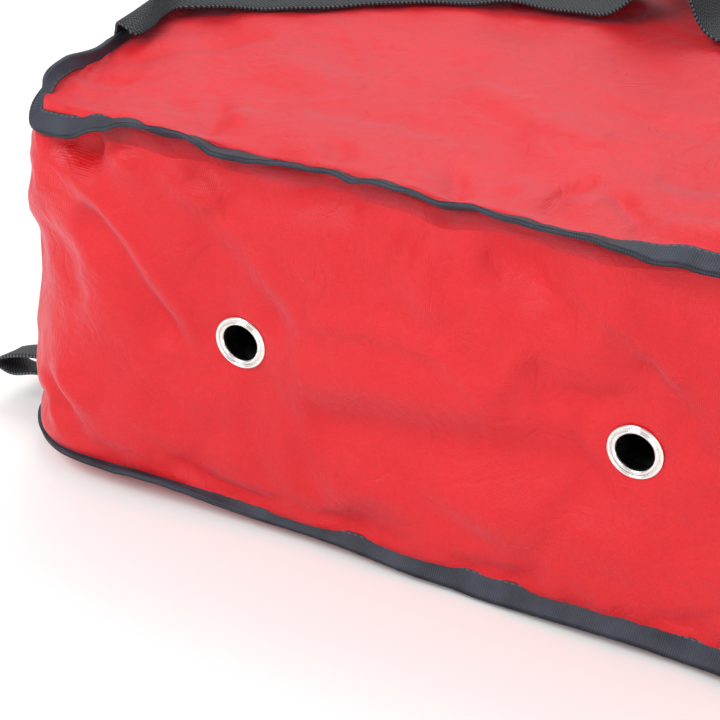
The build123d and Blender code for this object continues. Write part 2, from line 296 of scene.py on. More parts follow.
def puff(piece, held, pressure, growth, cap, stiffness=12.0, bending=0.6, frames=20):
    """Cloth with air behind it: held points stay, the rest swells and buckles because the
    fabric is longer than its seams by growth; no point moves further than cap."""
    rest = coordinates(piece)
    group = piece.vertex_groups.new(name="held")
    group.add([int(k) for k in np.flatnonzero(held)], 1.0, "REPLACE")
    cloth = piece.modifiers.new("Cloth", "CLOTH")
    s = cloth.settings
    s.quality = 6
    s.mass = 0.2
    s.tension_stiffness = stiffness
    s.compression_stiffness = stiffness
    s.shear_stiffness = stiffness / 2
    s.bending_stiffness = bending
    s.vertex_group_mass = "held"
    s.use_pressure = True
    s.uniform_pressure_force = pressure
    s.shrink_min = -growth
    s.effector_weights.gravity = 0
    cloth.collision_settings.use_collision = False
    cloth.point_cache.frame_start = 1
    cloth.point_cache.frame_end = frames
    for k in range(1, frames + 1):
        scene.frame_set(k)
    shown = piece.evaluated_get(bpy.context.evaluated_depsgraph_get())
    moved = np.zeros(len(rest) * 3, np.float32)
    shown.data.vertices.foreach_get("co", moved)
    step = moved.reshape(-1, 3).astype(float) - rest
    piece.modifiers.remove(cloth)
    piece.vertex_groups.clear()
    scene.frame_set(1)
    size = np.linalg.norm(step, axis=1, keepdims=True)
    step *= cap * np.tanh(size / cap) / np.maximum(size, 1e-9)
    set_coordinates(piece, rest + step)


# ---------------------------------------------------------------------------
# Materials
# ---------------------------------------------------------------------------
class Nodes:
    """A material being written, with short calls for the nodes it uses."""

    def __init__(self, name):
        self.material = bpy.data.materials.new(name)
        self.material.use_nodes = True
        self.tree = self.material.node_tree
        self.shader = self.tree.nodes["Principled BSDF"]

    def add(self, kind, **settings):
        node = self.tree.nodes.new(kind)
        for key, value in settings.items():
            setattr(node, key, value)
        return node

    def join(self, source, target):
        self.tree.links.new(source, target)

    def math(self, operation, a, b=None, c=None):
        node = self.add("ShaderNodeMath", operation=operation)
        for k, value in enumerate((a, b, c)):
            if value is None:
                continue
            if isinstance(value, (int, float)):
                node.inputs[k].default_value = value
            else:
                self.join(value, node.inputs[k])
        return node.outputs[0]

    def uv(self):
        split = self.add("ShaderNodeSeparateXYZ")
        self.join(self.add("ShaderNodeUVMap", uv_map="UVMap").outputs[0], split.inputs[0])
        return split.outputs[0], split.outputs[1]

    def place(self):
        return self.add("ShaderNodeTexCoord").outputs["Object"]

    def noise(self, scale, detail=2.0, rough=0.5, distortion=0.0):
        node = self.add("ShaderNodeTexNoise")
        self.join(self.place(), node.inputs["Vector"])
        node.inputs["Scale"].default_value = scale
        node.inputs["Detail"].default_value = detail
        node.inputs["Roughness"].default_value = rough
        node.inputs["Distortion"].default_value = distortion
        return node.outputs["Fac"]

    def wave(self, value, period):
        """Sine of a length in metres with a period in metres, between 0 and 1."""
        turned = self.math("SINE", self.math("MULTIPLY", value, 2 * math.pi / period))
        return self.math("MULTIPLY_ADD", turned, 0.5, 0.5)

    def ramp(self, value, low, high, dark, light):
        node = self.add("ShaderNodeMapRange", data_type="FLOAT")
        self.join(value, node.inputs["Value"])
        node.inputs["From Min"].default_value = low
        node.inputs["From Max"].default_value = high
        mix = self.add("ShaderNodeMix", data_type="RGBA")
        self.join(node.outputs[0], mix.inputs[0])
        mix.inputs[6].default_value = (*dark, 1)
        mix.inputs[7].default_value = (*light, 1)
        return mix.outputs[2]

    def bump(self, height, distance, normal=None, strength=1.0):
        node = self.add("ShaderNodeBump")
        node.inputs["Strength"].default_value = strength
        node.inputs["Distance"].default_value = distance
        self.join(height, node.inputs["Height"])
        if normal is not None:
            self.join(normal, node.inputs["Normal"])
        return node.outputs[0]

    def finish(self, colour=None, rough=None, normal=None, **values):
        if colour is not None:
            self.join(colour, self.shader.inputs["Base Color"])
        if rough is not None:
            self.join(rough, self.shader.inputs["Roughness"])
        if normal is not None:
            self.join(normal, self.shader.inputs["Normal"])
        for key, value in values.items():
            self.shader.inputs[key.replace("_", " ")].default_value = value
        return self.material


def red_fabric():
    """Coated fine plain weave: crossed threads near 0.9 mm apart, soft crumple at 3 to 30 mm,
    slight fading where the cloth is rubbed."""
    n = Nodes("red_coated_fabric")
    u, v = n.uv()
    weave = n.math("MULTIPLY", n.wave(u, 0.9 * MM), n.wave(v, 0.9 * MM))
    crumple = n.noise(30.0, 3.0, 0.55, 0.6)
    fine = n.noise(140.0, 3.0, 0.6, 0.4)
    grain = n.math("MULTIPLY_ADD", weave, 0.20, n.math("MULTIPLY", n.noise(620.0, 2.0, 0.6), 0.36))
    tone = n.math("MULTIPLY_ADD", n.noise(9.0, 4.0, 0.6), 0.5, grain)
    colour = n.ramp(tone, 0.28, 0.68, (0.54, 0.005, 0.006), (0.68, 0.011, 0.014))
    ridge = n.math("ABSOLUTE", n.math("SUBTRACT", n.noise(55.0, 2.0, 0.5, 0.8), 0.5))
    ridge = n.math("SMOOTH_MIN", ridge, 0.10, 0.04)
    normal = n.bump(crumple, 1.6 * MM)
    normal = n.bump(ridge, 2.6 * MM, normal)
    normal = n.bump(fine, 0.36 * MM, normal)
    normal = n.bump(weave, 0.13 * MM, normal)
    rough = n.math("MULTIPLY_ADD", fine, 0.18, 0.36)
    return n.finish(
        colour, rough, normal,
        Specular_IOR_Level=0.44, Specular_Tint=(0.9, 0.85, 1.0, 1),
        Sheen_Weight=0.17, Sheen_Roughness=0.35, Sheen_Tint=(0.8, 0.72, 1.0, 1),
    )


def silver_lining():
    """Silvered lining film over cloth: pale grey, crinkled, with a faint square weave."""
    n = Nodes("silver_lining")
    u, v = n.uv()
    weave = n.math("MULTIPLY", n.wave(u, 1.6 * MM), n.wave(v, 1.6 * MM))
    crinkle = n.noise(60.0, 5.0, 0.65, 1.2)
    colour = n.ramp(crinkle, 0.3, 0.7, (0.36, 0.37, 0.38), (0.55, 0.56, 0.57))
    normal = n.bump(weave, 0.08 * MM, n.bump(crinkle, 1.2 * MM))
    rough = n.math("MULTIPLY_ADD", crinkle, 0.25, 0.25)
    return n.finish(colour, rough, normal, Metallic=0.55)


def binding_tape():
    """Ribbed dark tape: cross ribs near 1.1 mm apart, a stitch line near its inner edge,
    and worn patches that are lighter at random."""
    n = Nodes("binding_tape")
    u, v = n.uv()
    ribs = n.wave(u, 1.1 * MM)
    threads = n.wave(v, 0.8 * MM)
    cloth = n.math("MULTIPLY_ADD", ribs, 0.7, n.math("MULTIPLY", threads, 0.3))
    worn = n.noise(55.0, 4.0, 0.6)
    tone = n.math("MULTIPLY_ADD", cloth, 0.35, n.math("MULTIPLY", worn, 0.65))
    colour = n.ramp(tone, 0.30, 0.72, (0.007, 0.009, 0.015), (0.046, 0.055, 0.080))
    line = n.math("LESS_THAN", n.math("ABSOLUTE", n.math("ADD", v, 1.6 * MM)), 0.35 * MM)
    dash = n.math("GREATER_THAN", n.wave(u, 3.2 * MM), 0.3)
    stitch = n.math("MULTIPLY", line, dash)
    mixed = n.add("ShaderNodeMix", data_type="RGBA")
    n.join(stitch, mixed.inputs[0])
    n.join(colour, mixed.inputs[6])
    mixed.inputs[7].default_value = (0.075, 0.08, 0.10, 1)
    height = n.math("MULTIPLY_ADD", stitch, 1.6, cloth)
    normal = n.bump(worn, 0.5 * MM, n.bump(height, 0.16 * MM))
    return n.finish(mixed.outputs[2], None, normal, Roughness=0.5, Specular_IOR_Level=0.35)


def webbing():
    """Woven strap: slanting twill ribs that turn back every 10 mm across the width, with painted
    highlights as light bluish flecks on the yarn crowns (painted sheen reflection on the black yarn) and
    plain selvedges."""
    n = Nodes("black_webbing")
    u, v = n.uv()
    saw = n.math("PINGPONG", v, 5.0 * MM)
    slant = n.math("ADD", u, n.math("MULTIPLY", saw, 1.0))
    twill = n.wave(slant, 2.1 * MM)
    yarn = n.wave(v, 1.25 * MM)
    crown = n.math("MULTIPLY", twill, yarn)
    fibre = n.noise(900.0, 2.0, 0.6)
    tone = n.math("MULTIPLY", crown, n.math("MULTIPLY_ADD", fibre, 1.2, 0.35))
    # painted highlight: the ramp lifts the yarn crowns to light blue-grey as painted sheen reflection; the
    # low places keep the webbing's own near-black
    colour = n.ramp(tone, 0.25, 0.85, (0.006, 0.007, 0.009), (0.115, 0.135, 0.155))
    normal = n.bump(crown, 0.35 * MM)
    normal = n.bump(n.noise(70.0, 3.0, 0.5), 0.5 * MM, normal)
    return n.finish(colour, None, normal, Roughness=0.6, Specular_IOR_Level=0.3)


def nickel():
    """Bright plated brass with faint turning marks, small dings and a little haze."""
    n = Nodes("nickel_plate")
    haze = n.noise(260.0, 4.0, 0.65)
    marks = n.noise(1500.0, 2.0, 0.5)
    colour = n.ramp(haze, 0.3, 0.75, (0.78, 0.775, 0.75), (0.93, 0.925, 0.90))
    rough = n.math("MULTIPLY_ADD", haze, 0.14, 0.08)
    normal = n.bump(marks, 0.012 * MM, n.bump(haze, 0.06 * MM))
    return n.finish(colour, rough, normal, Metallic=1.0)


def foam():
    """Closed-cell foam, pale, with small open cells on its cut faces."""
    n = Nodes("white_foam")
    cells = n.add("ShaderNodeTexVoronoi")
    n.join(n.place(), cells.inputs["Vector"])
    cells.inputs["Scale"].default_value = 700.0
    colour = n.ramp(cells.outputs["Distance"], 0.0, 0.7, (0.62, 0.61, 0.58), (0.84, 0.83, 0.80))
    return n.finish(colour, None, n.bump(cells.outputs["Distance"], 0.3 * MM), Roughness=0.8)


def board():
    """Stiff dark sheet with a light pebble and scuffs."""
    n = Nodes("board_sheet")
    pebble = n.noise(420.0, 3.0, 0.55)
    colour = n.ramp(pebble, 0.3, 0.7, (0.015, 0.015, 0.017), (0.045, 0.045, 0.048))
    rough = n.math("MULTIPLY_ADD", pebble, 0.25, 0.45)
    return n.finish(colour, rough, n.bump(pebble, 0.12 * MM))


def hook_strip():
    """Moulded hooks: rows of dark stubs near 1.6 mm apart."""
    n = Nodes("hook_strip")
    u, v = n.uv()
    stubs = n.math("MULTIPLY", n.wave(u, 1.6 * MM), n.wave(v, 1.6 * MM))
    colour = n.ramp(stubs, 0.2, 0.9, (0.006, 0.006, 0.007), (0.05, 0.05, 0.055))
    return n.finish(colour, None, n.bump(stubs, 0.8 * MM), Roughness=0.5)


def loop_strip():
    """Brushed loops: matted dark pile."""
    n = Nodes("loop_strip")
    pile = n.noise(650.0, 5.0, 0.7, 2.0)
    colour = n.ramp(pile, 0.3, 0.7, (0.008, 0.008, 0.009), (0.04, 0.04, 0.044))
    return n.finish(colour, None, n.bump(pile, 0.9 * MM), Roughness=0.9, Sheen_Weight=0.5)


RED = red_fabric()
LINING = silver_lining()
TAPE = binding_tape()
WEB = webbing()
NICKEL = nickel()
FOAM = foam()
BOARD = board()
HOOK = hook_strip()
LOOP = loop_strip()


def dress(piece, *materials):
    """Give a piece its materials, the first one on every face."""
    piece.data.materials.clear()
    for material in materials:
        piece.data.materials.append(material)
    return piece


# ---------------------------------------------------------------------------
# Plan of the bag and its seams
# ---------------------------------------------------------------------------
quarter = corner_r * math.pi / 2
side_run = rear_y - front_y - corner_r
front_run = 2 * (half_x - corner_r)
side_cells = int(round((side_run + quarter / 2) / cell))
front_cells = int(round((front_run + quarter) / cell))
around = 2 * side_cells + front_cells
up_cells = int(round((top_z - seam_low_z) / cell))


def plan(run, square=0.0):
    """Point and outward direction on the plan outline at a length from the left rear corner,
    down the left side, round the two front corners and up the right side. A corner is a
    quarter of a superellipse, round at square 0 and tighter above it."""
    run = np.asarray(run, float)
    total = 2 * side_run + 2 * quarter + front_run
    turned = np.minimum(run, total - run)
    left = np.minimum(turned, side_run)
    bend = np.clip(turned - side_run, 0, quarter) / corner_r
    ahead = np.maximum(turned - side_run - quarter, 0)
    power = 2 / (2 + 2.5 * np.asarray(square, float))
    x = -half_x + corner_r * (1 - np.cos(bend) ** power) + ahead
    y = rear_y - left - corner_r * np.sin(bend) ** power
    out_x = -np.cos(bend)
    out_y = -np.sin(bend)
    flip = np.where(run > total / 2, -1.0, 1.0)
    return np.stack([x * flip, y], -1), np.stack([out_x * flip, out_y], -1)


total_run = 2 * side_run + 2 * quarter + front_run
side_len = side_run + quarter / 2
seam_run = np.r_[
    np.linspace(0, side_len, side_cells + 1),
    np.linspace(side_len, total_run - side_len, front_cells + 1)[1:],
    np.linspace(total_run - side_len, total_run, side_cells + 1)[1:],
]


def bell(value, centre, width):
    """Smooth bump of height one."""
    return np.exp(-(((value - centre) / width) ** 2))


def front_x(run):
    """Distance along the front wall from its middle, also counted round the corners."""
    return np.asarray(run, float) - total_run / 2


def top_seam(run):
    """Height of the top seam above its nominal line: it dips beside the left front corner,
    lifts next to it, rises to the right end and wanders by a few millimetres elsewhere."""
    x = front_x(run)
    rise = 5.0 * bell(x, -0.232, 0.020) - 7.0 * bell(x, -0.192, 0.018) + 3.6 * bell(x, -0.146, 0.013)
    rise += 1.8 * bell(x, -0.118, 0.012) - 1.6 * bell(x, -0.055, 0.02) - 3.2 * bell(x, 0.004, 0.012)
    rise += 4.0 * smoothstep(x, 0.075, 0.125)
    rise += 0.8 * waves(x[:, None], 5, 0.10, 8)
    return rise * MM


def top_seam_out(run):
    """How far the top seam stands out from the plan."""
    x = front_x(run)
    out = 2.0 * bell(x, -0.150, 0.03) - 2.0 * bell(x, -0.03, 0.05) + 1.5 * bell(x, 0.1, 0.05)
    out += 1.0 * waves(x[:, None], 9, 0.12, 8)
    return out * MM


def top_seam_in(run):
    """How far the handles' pull draws the ends' top edges inwards, more on the left."""
    x = front_x(run)
    left = 10.5 * smoothstep(-x, 0.182, 0.216) * (1 - smoothstep(-x, 0.38, 0.58))
    right = 5.0 * smoothstep(x, 0.182, 0.230) * (1 - smoothstep(x, 0.38, 0.58))
    return (left + 2.6 * bell(x, -0.222, 0.022) + right) * MM


def low_seam(run):
    """Height of the base seam above its nominal line; the left front corner is lifted."""
    x = front_x(run)
    rise = 7.5 * bell(x, -0.250, 0.085) + 3.0 * bell(x, -0.130, 0.05) + 1.6 * bell(x, 0.014, 0.016)
    rise += 3.0 * smoothstep(x, 0.055, 0.115)
    rise += 0.7 * waves(x[:, None], 12, 0.13, 8)
    return rise * MM


def low_seam_out(run):
    """The base spreads, most of all at the two front corners."""
    x = np.abs(front_x(run))
    corner = bell(x, total_run / 2 - side_len, 0.085)
    return (2.5 + 6.5 * corner) * MM + 0.8 * MM * waves(front_x(run)[:, None], 14, 0.12, 8)


# ---------------------------------------------------------------------------
# Outer shell: one skin over the top and three walls, puffed by cloth
# ---------------------------------------------------------------------------
def band_points(run, level):
    """Points of the side band: between the base seam (level 0) and the top seam (level 1),
    pushed out by a belly that is highest at a third of the height."""
    spot, out = plan(run, 0.9 * level**2)
    low = seam_low_z + low_seam(run)
    high = top_z + top_seam(run)
    lean = low_seam_out(run) * (1 - level) ** 1.3 + top_seam_out(run) * level**5
    lean -= top_seam_in(run) * level**10
    corner = bell(np.abs(front_x(run)), total_run / 2 - side_len, 0.07)
    waist = bell(level, 0.46, 0.18) * corner
    belly = ((1.6 - 0.8 * corner) * np.sin(math.pi * level) ** 0.8 - 2.0 * waist) * MM
    flat = spot + out * (lean + belly)[..., None]
    return np.concatenate([flat, (low + (high - low) * level)[..., None]], -1)


def coons(left, right, front, rear):
    """Fill a four-sided outline: the two ruled surfaces between opposite sides added, less
    the one ruled between the corners. Rows run from rear to front."""
    v = np.linspace(0, 1, len(left))[:, None, None]
    u = np.linspace(0, 1, len(front))[None, :, None]
    across = (1 - u) * left[:, None] + u * right[:, None]
    down = (1 - v) * rear[None] + v * front[None]
    corners = (1 - v) * ((1 - u) * rear[0] + u * rear[-1]) + v * ((1 - u) * front[0] + u * front[-1])
    return across + down - corners


def four_sides(level):
    """The band's outline at one level as its left, front and right lines and a straight rear."""
    rim = band_points(seam_run, np.full(around + 1, level))
    left = rim[: side_cells + 1]
    front = rim[side_cells : side_cells + front_cells + 1]
    right = rim[side_cells + front_cells :][::-1]
    return left, front, right, np.linspace(left[0], right[0], front_cells + 1)


def shell_grid():
    """Points, quads and flat cloth coordinates of the top panel and side band, joined at the
    top seam."""
    left, front, right, rear = four_sides(1.0)
    top = coons(left, right, front, rear)
    v = np.linspace(0, 1, side_cells + 1)[:, None]
    u = np.linspace(0, 1, front_cells + 1)[None]
    crown = (np.sin(math.pi * u) ** 0.7) * (np.sin(math.pi * (0.5 + 0.5 * v) ** 1.3) ** 0.6)
    top[..., 2] += 1.5 * MM * crown
    ids = np.arange((side_cells + 1) * (front_cells + 1)).reshape(side_cells + 1, front_cells + 1)
    verts = [top.reshape(-1, 3)]
    uv = [top[..., :2].reshape(-1, 2) + 1.0]
    faces = [grid_faces(side_cells + 1, front_cells + 1)[:, ::-1]]
    level = np.linspace(1, 0, up_cells + 1)
    runs, levels = np.meshgrid(seam_run, level)
    wall = band_points(runs.ravel(), levels.ravel()).reshape(up_cells + 1, around + 1, 3)
    first = ids.size
    rim_ids = np.r_[ids[:, 0], ids[-1, 1:], ids[::-1, -1][1:]]
    lower = first + np.arange(up_cells * (around + 1)).reshape(up_cells, around + 1)
    table = np.vstack([rim_ids[None], lower])
    verts.append(wall[1:].reshape(-1, 3))
    uv.append(np.stack([runs[1:], wall[1:, :, 2]], -1).reshape(-1, 2))
    quads = np.stack([table[:-1, :-1], table[1:, :-1], table[1:, 1:], table[:-1, 1:]], -1)
    faces.append(quads.reshape(-1, 4))
    return np.vstack(verts), np.vstack(faces), np.vstack(uv), ids, table


def open_eyelets(verts, faces, table):
    """Square blocks of the wall grid are bent round and taken out at each eyelet."""
    keep = np.ones(len(faces), bool)
    wall = verts[table]
    for spot in eyelets.values():
        middle = (wall[1:, 1:] + wall[:-1, :-1]) / 2
        ahead = middle[..., 1] < front_y + 20 * MM
        gap = np.where(ahead, np.hypot(middle[..., 0] - spot.x, middle[..., 2] - spot.z), 9.0)
        row, column = np.unravel_index(gap.argmin(), gap.shape)
        centre = middle[row, column]
        near = np.flatnonzero(
            (verts[:, 1] < front_y + 25 * MM) & (np.abs(verts[:, 0] - spot.x) < 0.07)
            & (verts[:, 2] > 15 * MM) & (verts[:, 2] < top_z - 15 * MM)
        )
        p = verts[near][:, [0, 2]] - centre[[0, 2]]
        reach = np.abs(p).max(1)
        shift = np.array([spot.x, spot.z]) - centre[[0, 2]]
        half = 1.5 * cell
        t = smoothstep(reach, half, 4.5 * half)
        size = np.linalg.norm(p, axis=1)
        round_size = cloth_hole * reach / half
        scale = ((1 - t) * round_size + t * size) / np.maximum(size, 1e-9)
        q = p * scale[:, None] + shift * (1 - t)[:, None]
        verts[near, 0] = centre[0] + q[:, 0]
        verts[near, 2] = centre[2] + q[:, 1]
        block = set(table[row - 1 : row + 3, column - 1 : column + 3].ravel().tolist())
        keep &= ~np.isin(faces, list(block)).all(1)
    return verts, faces[keep]


def eyelet_distance(points):
    """Distance in the wall's plane from the nearer eyelet."""
    gaps = [np.hypot(points[:, 0] - e.x, points[:, 2] - e.z) for e in eyelets.values()]
    near = np.minimum(*gaps)
    return np.where(points[:, 1] < front_y + 30 * MM, near, 9.0)


WALL_FOLDS = (
    # a line of places on the front wall (x, height), its half width and its height, all in mm
    (((-200, 178), (-182, 175), (-162, 181)), 8, -9.0),
    (((-204, 186), (-190, 171), (-166, 156), (-150, 142), (-135, 120), (-115, 90)), 7, 3.2),
    (((-178, 150), (-155, 128), (-140, 105), (-128, 85)), 10, -4.2),
    (((-206, 150), (-192, 120), (-180, 95)), 12, -2.2),
    (((-151, 190), (-148, 168)), 8, 4.0),
    (((-132, 184), (-118, 170), (-100, 168)), 6, 2.4),
    (((-118, 184), (-104, 178)), 5, -2.4),
    (((-96, 172), (-60, 176), (-34, 182)), 8, -3.2),
    (((-110, 150), (-88, 128), (-72, 104)), 9, -1.8),
    (((-90, 150), (-70, 128), (-58, 110)), 7, 1.8),
    (((-9, 180), (-13, 158)), 5, -3.4),
    (((2, 176), (-2, 150), (12, 138)), 9, 2.6),
    (((20, 172), (40, 168), (62, 158), (56, 142)), 10, -3.8),
    (((-60, 122), (-23, 126), (7, 124), (33, 106)), 6, 2.2),
    (((33, 106), (42, 128), (50, 140)), 5, 2.2),
    (((49, 134), (58, 116), (94, 113)), 8, -3.0),
    (((78, 168), (94, 156), (120, 134)), 7, 3.0),
    (((96, 146), (118, 120), (132, 96)), 8, -2.4),
    (((118, 160), (150, 140), (180, 132)), 9, 2.4),
    (((-62, 66), (-23, 74), (37, 79), (88, 88)), 14, -4.6),
    (((-70, 92), (-20, 98), (40, 104)), 14, 2.6),
    (((-52, 40), (0, 46), (60, 52), (110, 48)), 12, 2.2),
    (((-30, 58), (10, 40), (40, 28)), 8, -1.8),
    (((-209, 54), (-198, 46), (-186, 33)), 6, -3.6),
    (((-198, 62), (-184, 50), (-170, 44)), 8, 2.6),
    (((-206, 46), (-210, 26)), 4, -2.4),
    (((-150, 62), (-120, 48), (-84, 50)), 10, -1.8),
    (((130, 82), (170, 96), (215, 104)), 12, -2.6),
    (((120, 44), (160, 54), (200, 50)), 14, 2.4),
)
TOP_FOLDS = (
    # the same on the top panel (x, distance behind the front seam)
    (((-8, 36), (4, 14), (10, 0)), 4, -3.0),
    (((-20, 24), (-10, 8)), 6, 2.0),
    (((29, 28), (19, 10)), 6, -2.6),
    (((22, 40), (30, 12), (34, 2)), 5, 1.8),
    (((52, 52), (43, 34), (47, 6)), 4, -3.6),
    (((60, 36), (56, 10)), 7, 2.4),
    (((62, 44), (84, 20), (88, 4)), 4, -3.2),
    (((89, 11), (121, 8), (150, 10)), 5, -3.4),
    (((88, 26), (120, 20), (160, 24)), 8, 2.0),
    (((-128, 44), (-115, 12), (-112, 0)), 5, -3.2),
    (((-116, 36), (-104, 14)), 7, 2.6),
    (((-147, 38), (-134, 14)), 5, -2.2),
    (((-58, 29), (-50, 4)), 5, -2.8),
    (((-72, 20), (-66, 4)), 6, 1.8),
    (((-206, 38), (-186, 38), (-170, 44)), 6, -2.8),
    (((-196, 60), (-170, 92), (-140, 112)), 9, -2.6),
    (((-150, 60), (-110, 84), (-70, 84)), 12, 2.4),
    (((-90, 50), (-50, 62), (-10, 58)), 9, -1.8),
    (((-40, 110), (10, 86), (50, 78)), 9, 2.2),
    (((20, 120), (60, 108), (110, 112)), 10, -2.4),
    (((70, 70), (120, 62), (170, 74)), 9, -2.0),
    (((180, 20), (150, 60), (140, 100)), 10, -2.2),
)


def add_folds(points, folds):
    """Sum of the listed folds at places in a panel's own plane."""
    depth = np.zeros(len(points))
    for line, width, height in folds:
        depth += height * fold(points, np.array(line) * MM, width * MM)
    return depth * MM


def wall_folds(points):
    """Folds of the front wall; round a corner the distance goes on along the wall."""
    p = points[:, [0, 2]].copy()
    beyond = np.clip(points[:, 1] - front_y - 8 * MM, 0, None)
    p[:, 0] += np.sign(p[:, 0]) * beyond
    return np.clip(1.35 * add_folds(p, WALL_FOLDS), -9.5 * MM, 5.5 * MM)


def top_folds(points):
    """Folds of the top panel: puckers drawn by the front seam and low swells behind them."""
    p = points[:, :2].copy()
    p[:, 1] -= front_y
    return add_folds(p, TOP_FOLDS)


def outer_shell():
    """The red skin: grid, eyelet openings, cloth, one subdivision, then folds and crumples."""
    verts, faces, uv, ids, table = shell_grid()
    verts, faces = open_eyelets(verts, faces, table)
    clear = smoothstep(eyelet_distance(verts), 14 * MM, 75 * MM)
    ahead = verts[:, 1] < front_y + 0.5 * corner_r
    verts[:, 1] = np.where(ahead, front_y + (verts[:, 1] - front_y) * clear, verts[:, 1])
    piece = link("outer_shell", verts, faces, uv)
    held = np.zeros(len(verts), bool)
    held[table[0]] = True
    held[table[-1]] = True
    held[ids[0]] = True
    held[table[:, 0]] = True
    held[table[:, -1]] = True
    held |= eyelet_distance(verts) < 16 * MM
    puff(piece, held, pressure=0.8, growth=0.05, cap=4.5 * MM)
    co = coordinates(piece)
    co[ids[:-1, 1:-1].ravel(), 2] += 0.55 * (top_z - co[ids[:-1, 1:-1].ravel(), 2])
    set_coordinates(piece, co)
    ends = np.zeros(len(piece.data.edges) * 2, np.int32)
    piece.data.edges.foreach_get("vertices", ends)
    rim = np.zeros(len(verts), bool)
    rim[table[0]] = True
    sharp = piece.data.attributes.new("crease_edge", "FLOAT", "EDGE")
    sharp.data.foreach_set("value", rim[ends].reshape(-1, 2).all(1).astype(np.float32))
    subdivide(piece)
    apply_modifiers(piece)
    co = coordinates(piece)
    normal = np.zeros(len(co) * 3, np.float32)
    piece.data.vertices.foreach_get("normal", normal)
    normal = normal.reshape(-1, 3)
    on_top = (normal[:, 2] > 0.6) & (co[:, 2] > top_z - 14 * MM)
    depth = np.where(on_top, top_folds(co), wall_folds(co))
    depth += 1.0 * MM * waves(co, 21, 0.060)
    loose = np.where(on_top, 1.0, 0.65)
    depth += 0.75 * MM * loose * (crumple(co, 23, 0.065) - 0.25)
    depth += 0.40 * MM * loose * (crumple(co, 27, 0.024) - 0.25)
    rim = band_points(seam_run, np.ones(around + 1))
    seam = smoothstep(gap_to(co, rim), 1 * MM, 9 * MM)
    seam *= smoothstep(gap_to(co, band_points(seam_run, np.zeros(around + 1))), 1 * MM, 7 * MM)
    seam *= smoothstep(rear_y - co[:, 1], 0, 8 * MM)
    seam *= smoothstep(eyelet_distance(co), 14 * MM, 26 * MM)
    set_coordinates(piece, co + normal * (depth * np.clip(seam, 0, 1))[:, None])
    dress(piece, RED)
    belongs(piece, "bag", "outer_fabric", "outer_top", "outer_band",
            "foam_top", "foam_front", "foam_left", "foam_right")
    return piece


# ---------------------------------------------------------------------------
# Inside and base
# ---------------------------------------------------------------------------
def lining_shell():
    """The cavity's lining: five sides of a rounded box with a soft ripple, 1 mm thick."""
    inner_x = half_x - wall_t
    inner_front = front_y + wall_t
    step = 12 * MM
    nx = int(round(2 * inner_x / step))
    ny = int(round((rear_y - inner_front) / step))
    nz = int(round((cavity_high - cavity_low) / step))
    depth = np.linspace(rear_y - 1 * MM, inner_front, ny + 1)
    ring = np.vstack([
        np.stack([np.linspace(-inner_x, inner_x, nx + 1)[:-1], np.full(nx, cavity_low)], 1),
        np.stack([np.full(nz, inner_x), np.linspace(cavity_low, cavity_high, nz + 1)[:-1]], 1),
        np.stack([np.linspace(inner_x, -inner_x, nx + 1)[:-1], np.full(nx, cavity_high)], 1),
        np.stack([np.full(nz, -inner_x), np.linspace(cavity_high, cavity_low, nz + 1)[:-1]], 1),
    ])
    m = len(ring)
    tube = np.zeros((ny + 1, m, 3))
    tube[..., 0] = ring[None, :, 0]
    tube[..., 2] = ring[None, :, 1]
    tube[..., 1] = depth[:, None]
    end_x, end_z = np.meshgrid(np.linspace(-inner_x, inner_x, nx + 1)[1:-1],
                               np.linspace(cavity_low, cavity_high, nz + 1)[1:-1])
    inner = np.stack([end_x, np.full_like(end_x, inner_front), end_z], -1)
    ids = np.full((nz + 1, nx + 1), -1)
    last = ny * m
    ids[0, :] = last + np.arange(nx + 1)
    ids[:, -1] = last + nx + np.arange(nz + 1)
    ids[-1, ::-1] = last + nx + nz + np.arange(nx + 1)
    ids[1:, 0][::-1] = last + 2 * nx + nz + np.arange(nz)
    ids[0, 0] = last
    ids[1:-1, 1:-1] = (ny + 1) * m + np.arange(inner.shape[0] * inner.shape[1]).reshape(inner.shape[:2])
    verts = np.vstack([tube.reshape(-1, 3), inner.reshape(-1, 3)])
    end = np.stack([ids[:-1, :-1], ids[:-1, 1:], ids[1:, 1:], ids[1:, :-1]], -1).reshape(-1, 4)
    faces = np.vstack([grid_faces(ny + 1, m, wrap=True), end])
    spots = np.array([[e.x, e.z] for e in eyelets.values()])
    centres = verts[faces].mean(1)
    gap = np.linalg.norm(centres[:, None, [0, 2]] - spots[None], axis=2).min(1)
    faces = faces[(gap > cloth_hole) | (centres[:, 1] > inner_front + 1 * MM)]
    uv = np.stack([verts[:, 0] + verts[:, 2], verts[:, 1] + verts[:, 2]], 1)
    middle = np.array([0, (inner_front + rear_y) / 2, (cavity_low + cavity_high) / 2])
    toward = -np.sign(verts - middle) * (np.abs(verts - middle) > 0.98 * np.abs(
        np.array([inner_x, rear_y - middle[1], cavity_high - middle[2]])))
    toward[:, 1] *= verts[:, 1] < 0
    verts = verts + toward * (1.1 * MM * (1 + waves(verts, 31, 0.09)))[:, None]
    piece = link("lining", verts, faces, uv)
    fix_normals(piece)
    subdivide(piece)
    thicken(piece, 1.0 * MM, 0.0)
    dress(piece, LINING)
    belongs(piece, "bag", "lining", "lining_band", "lining_top", "lining_bottom")
    return piece


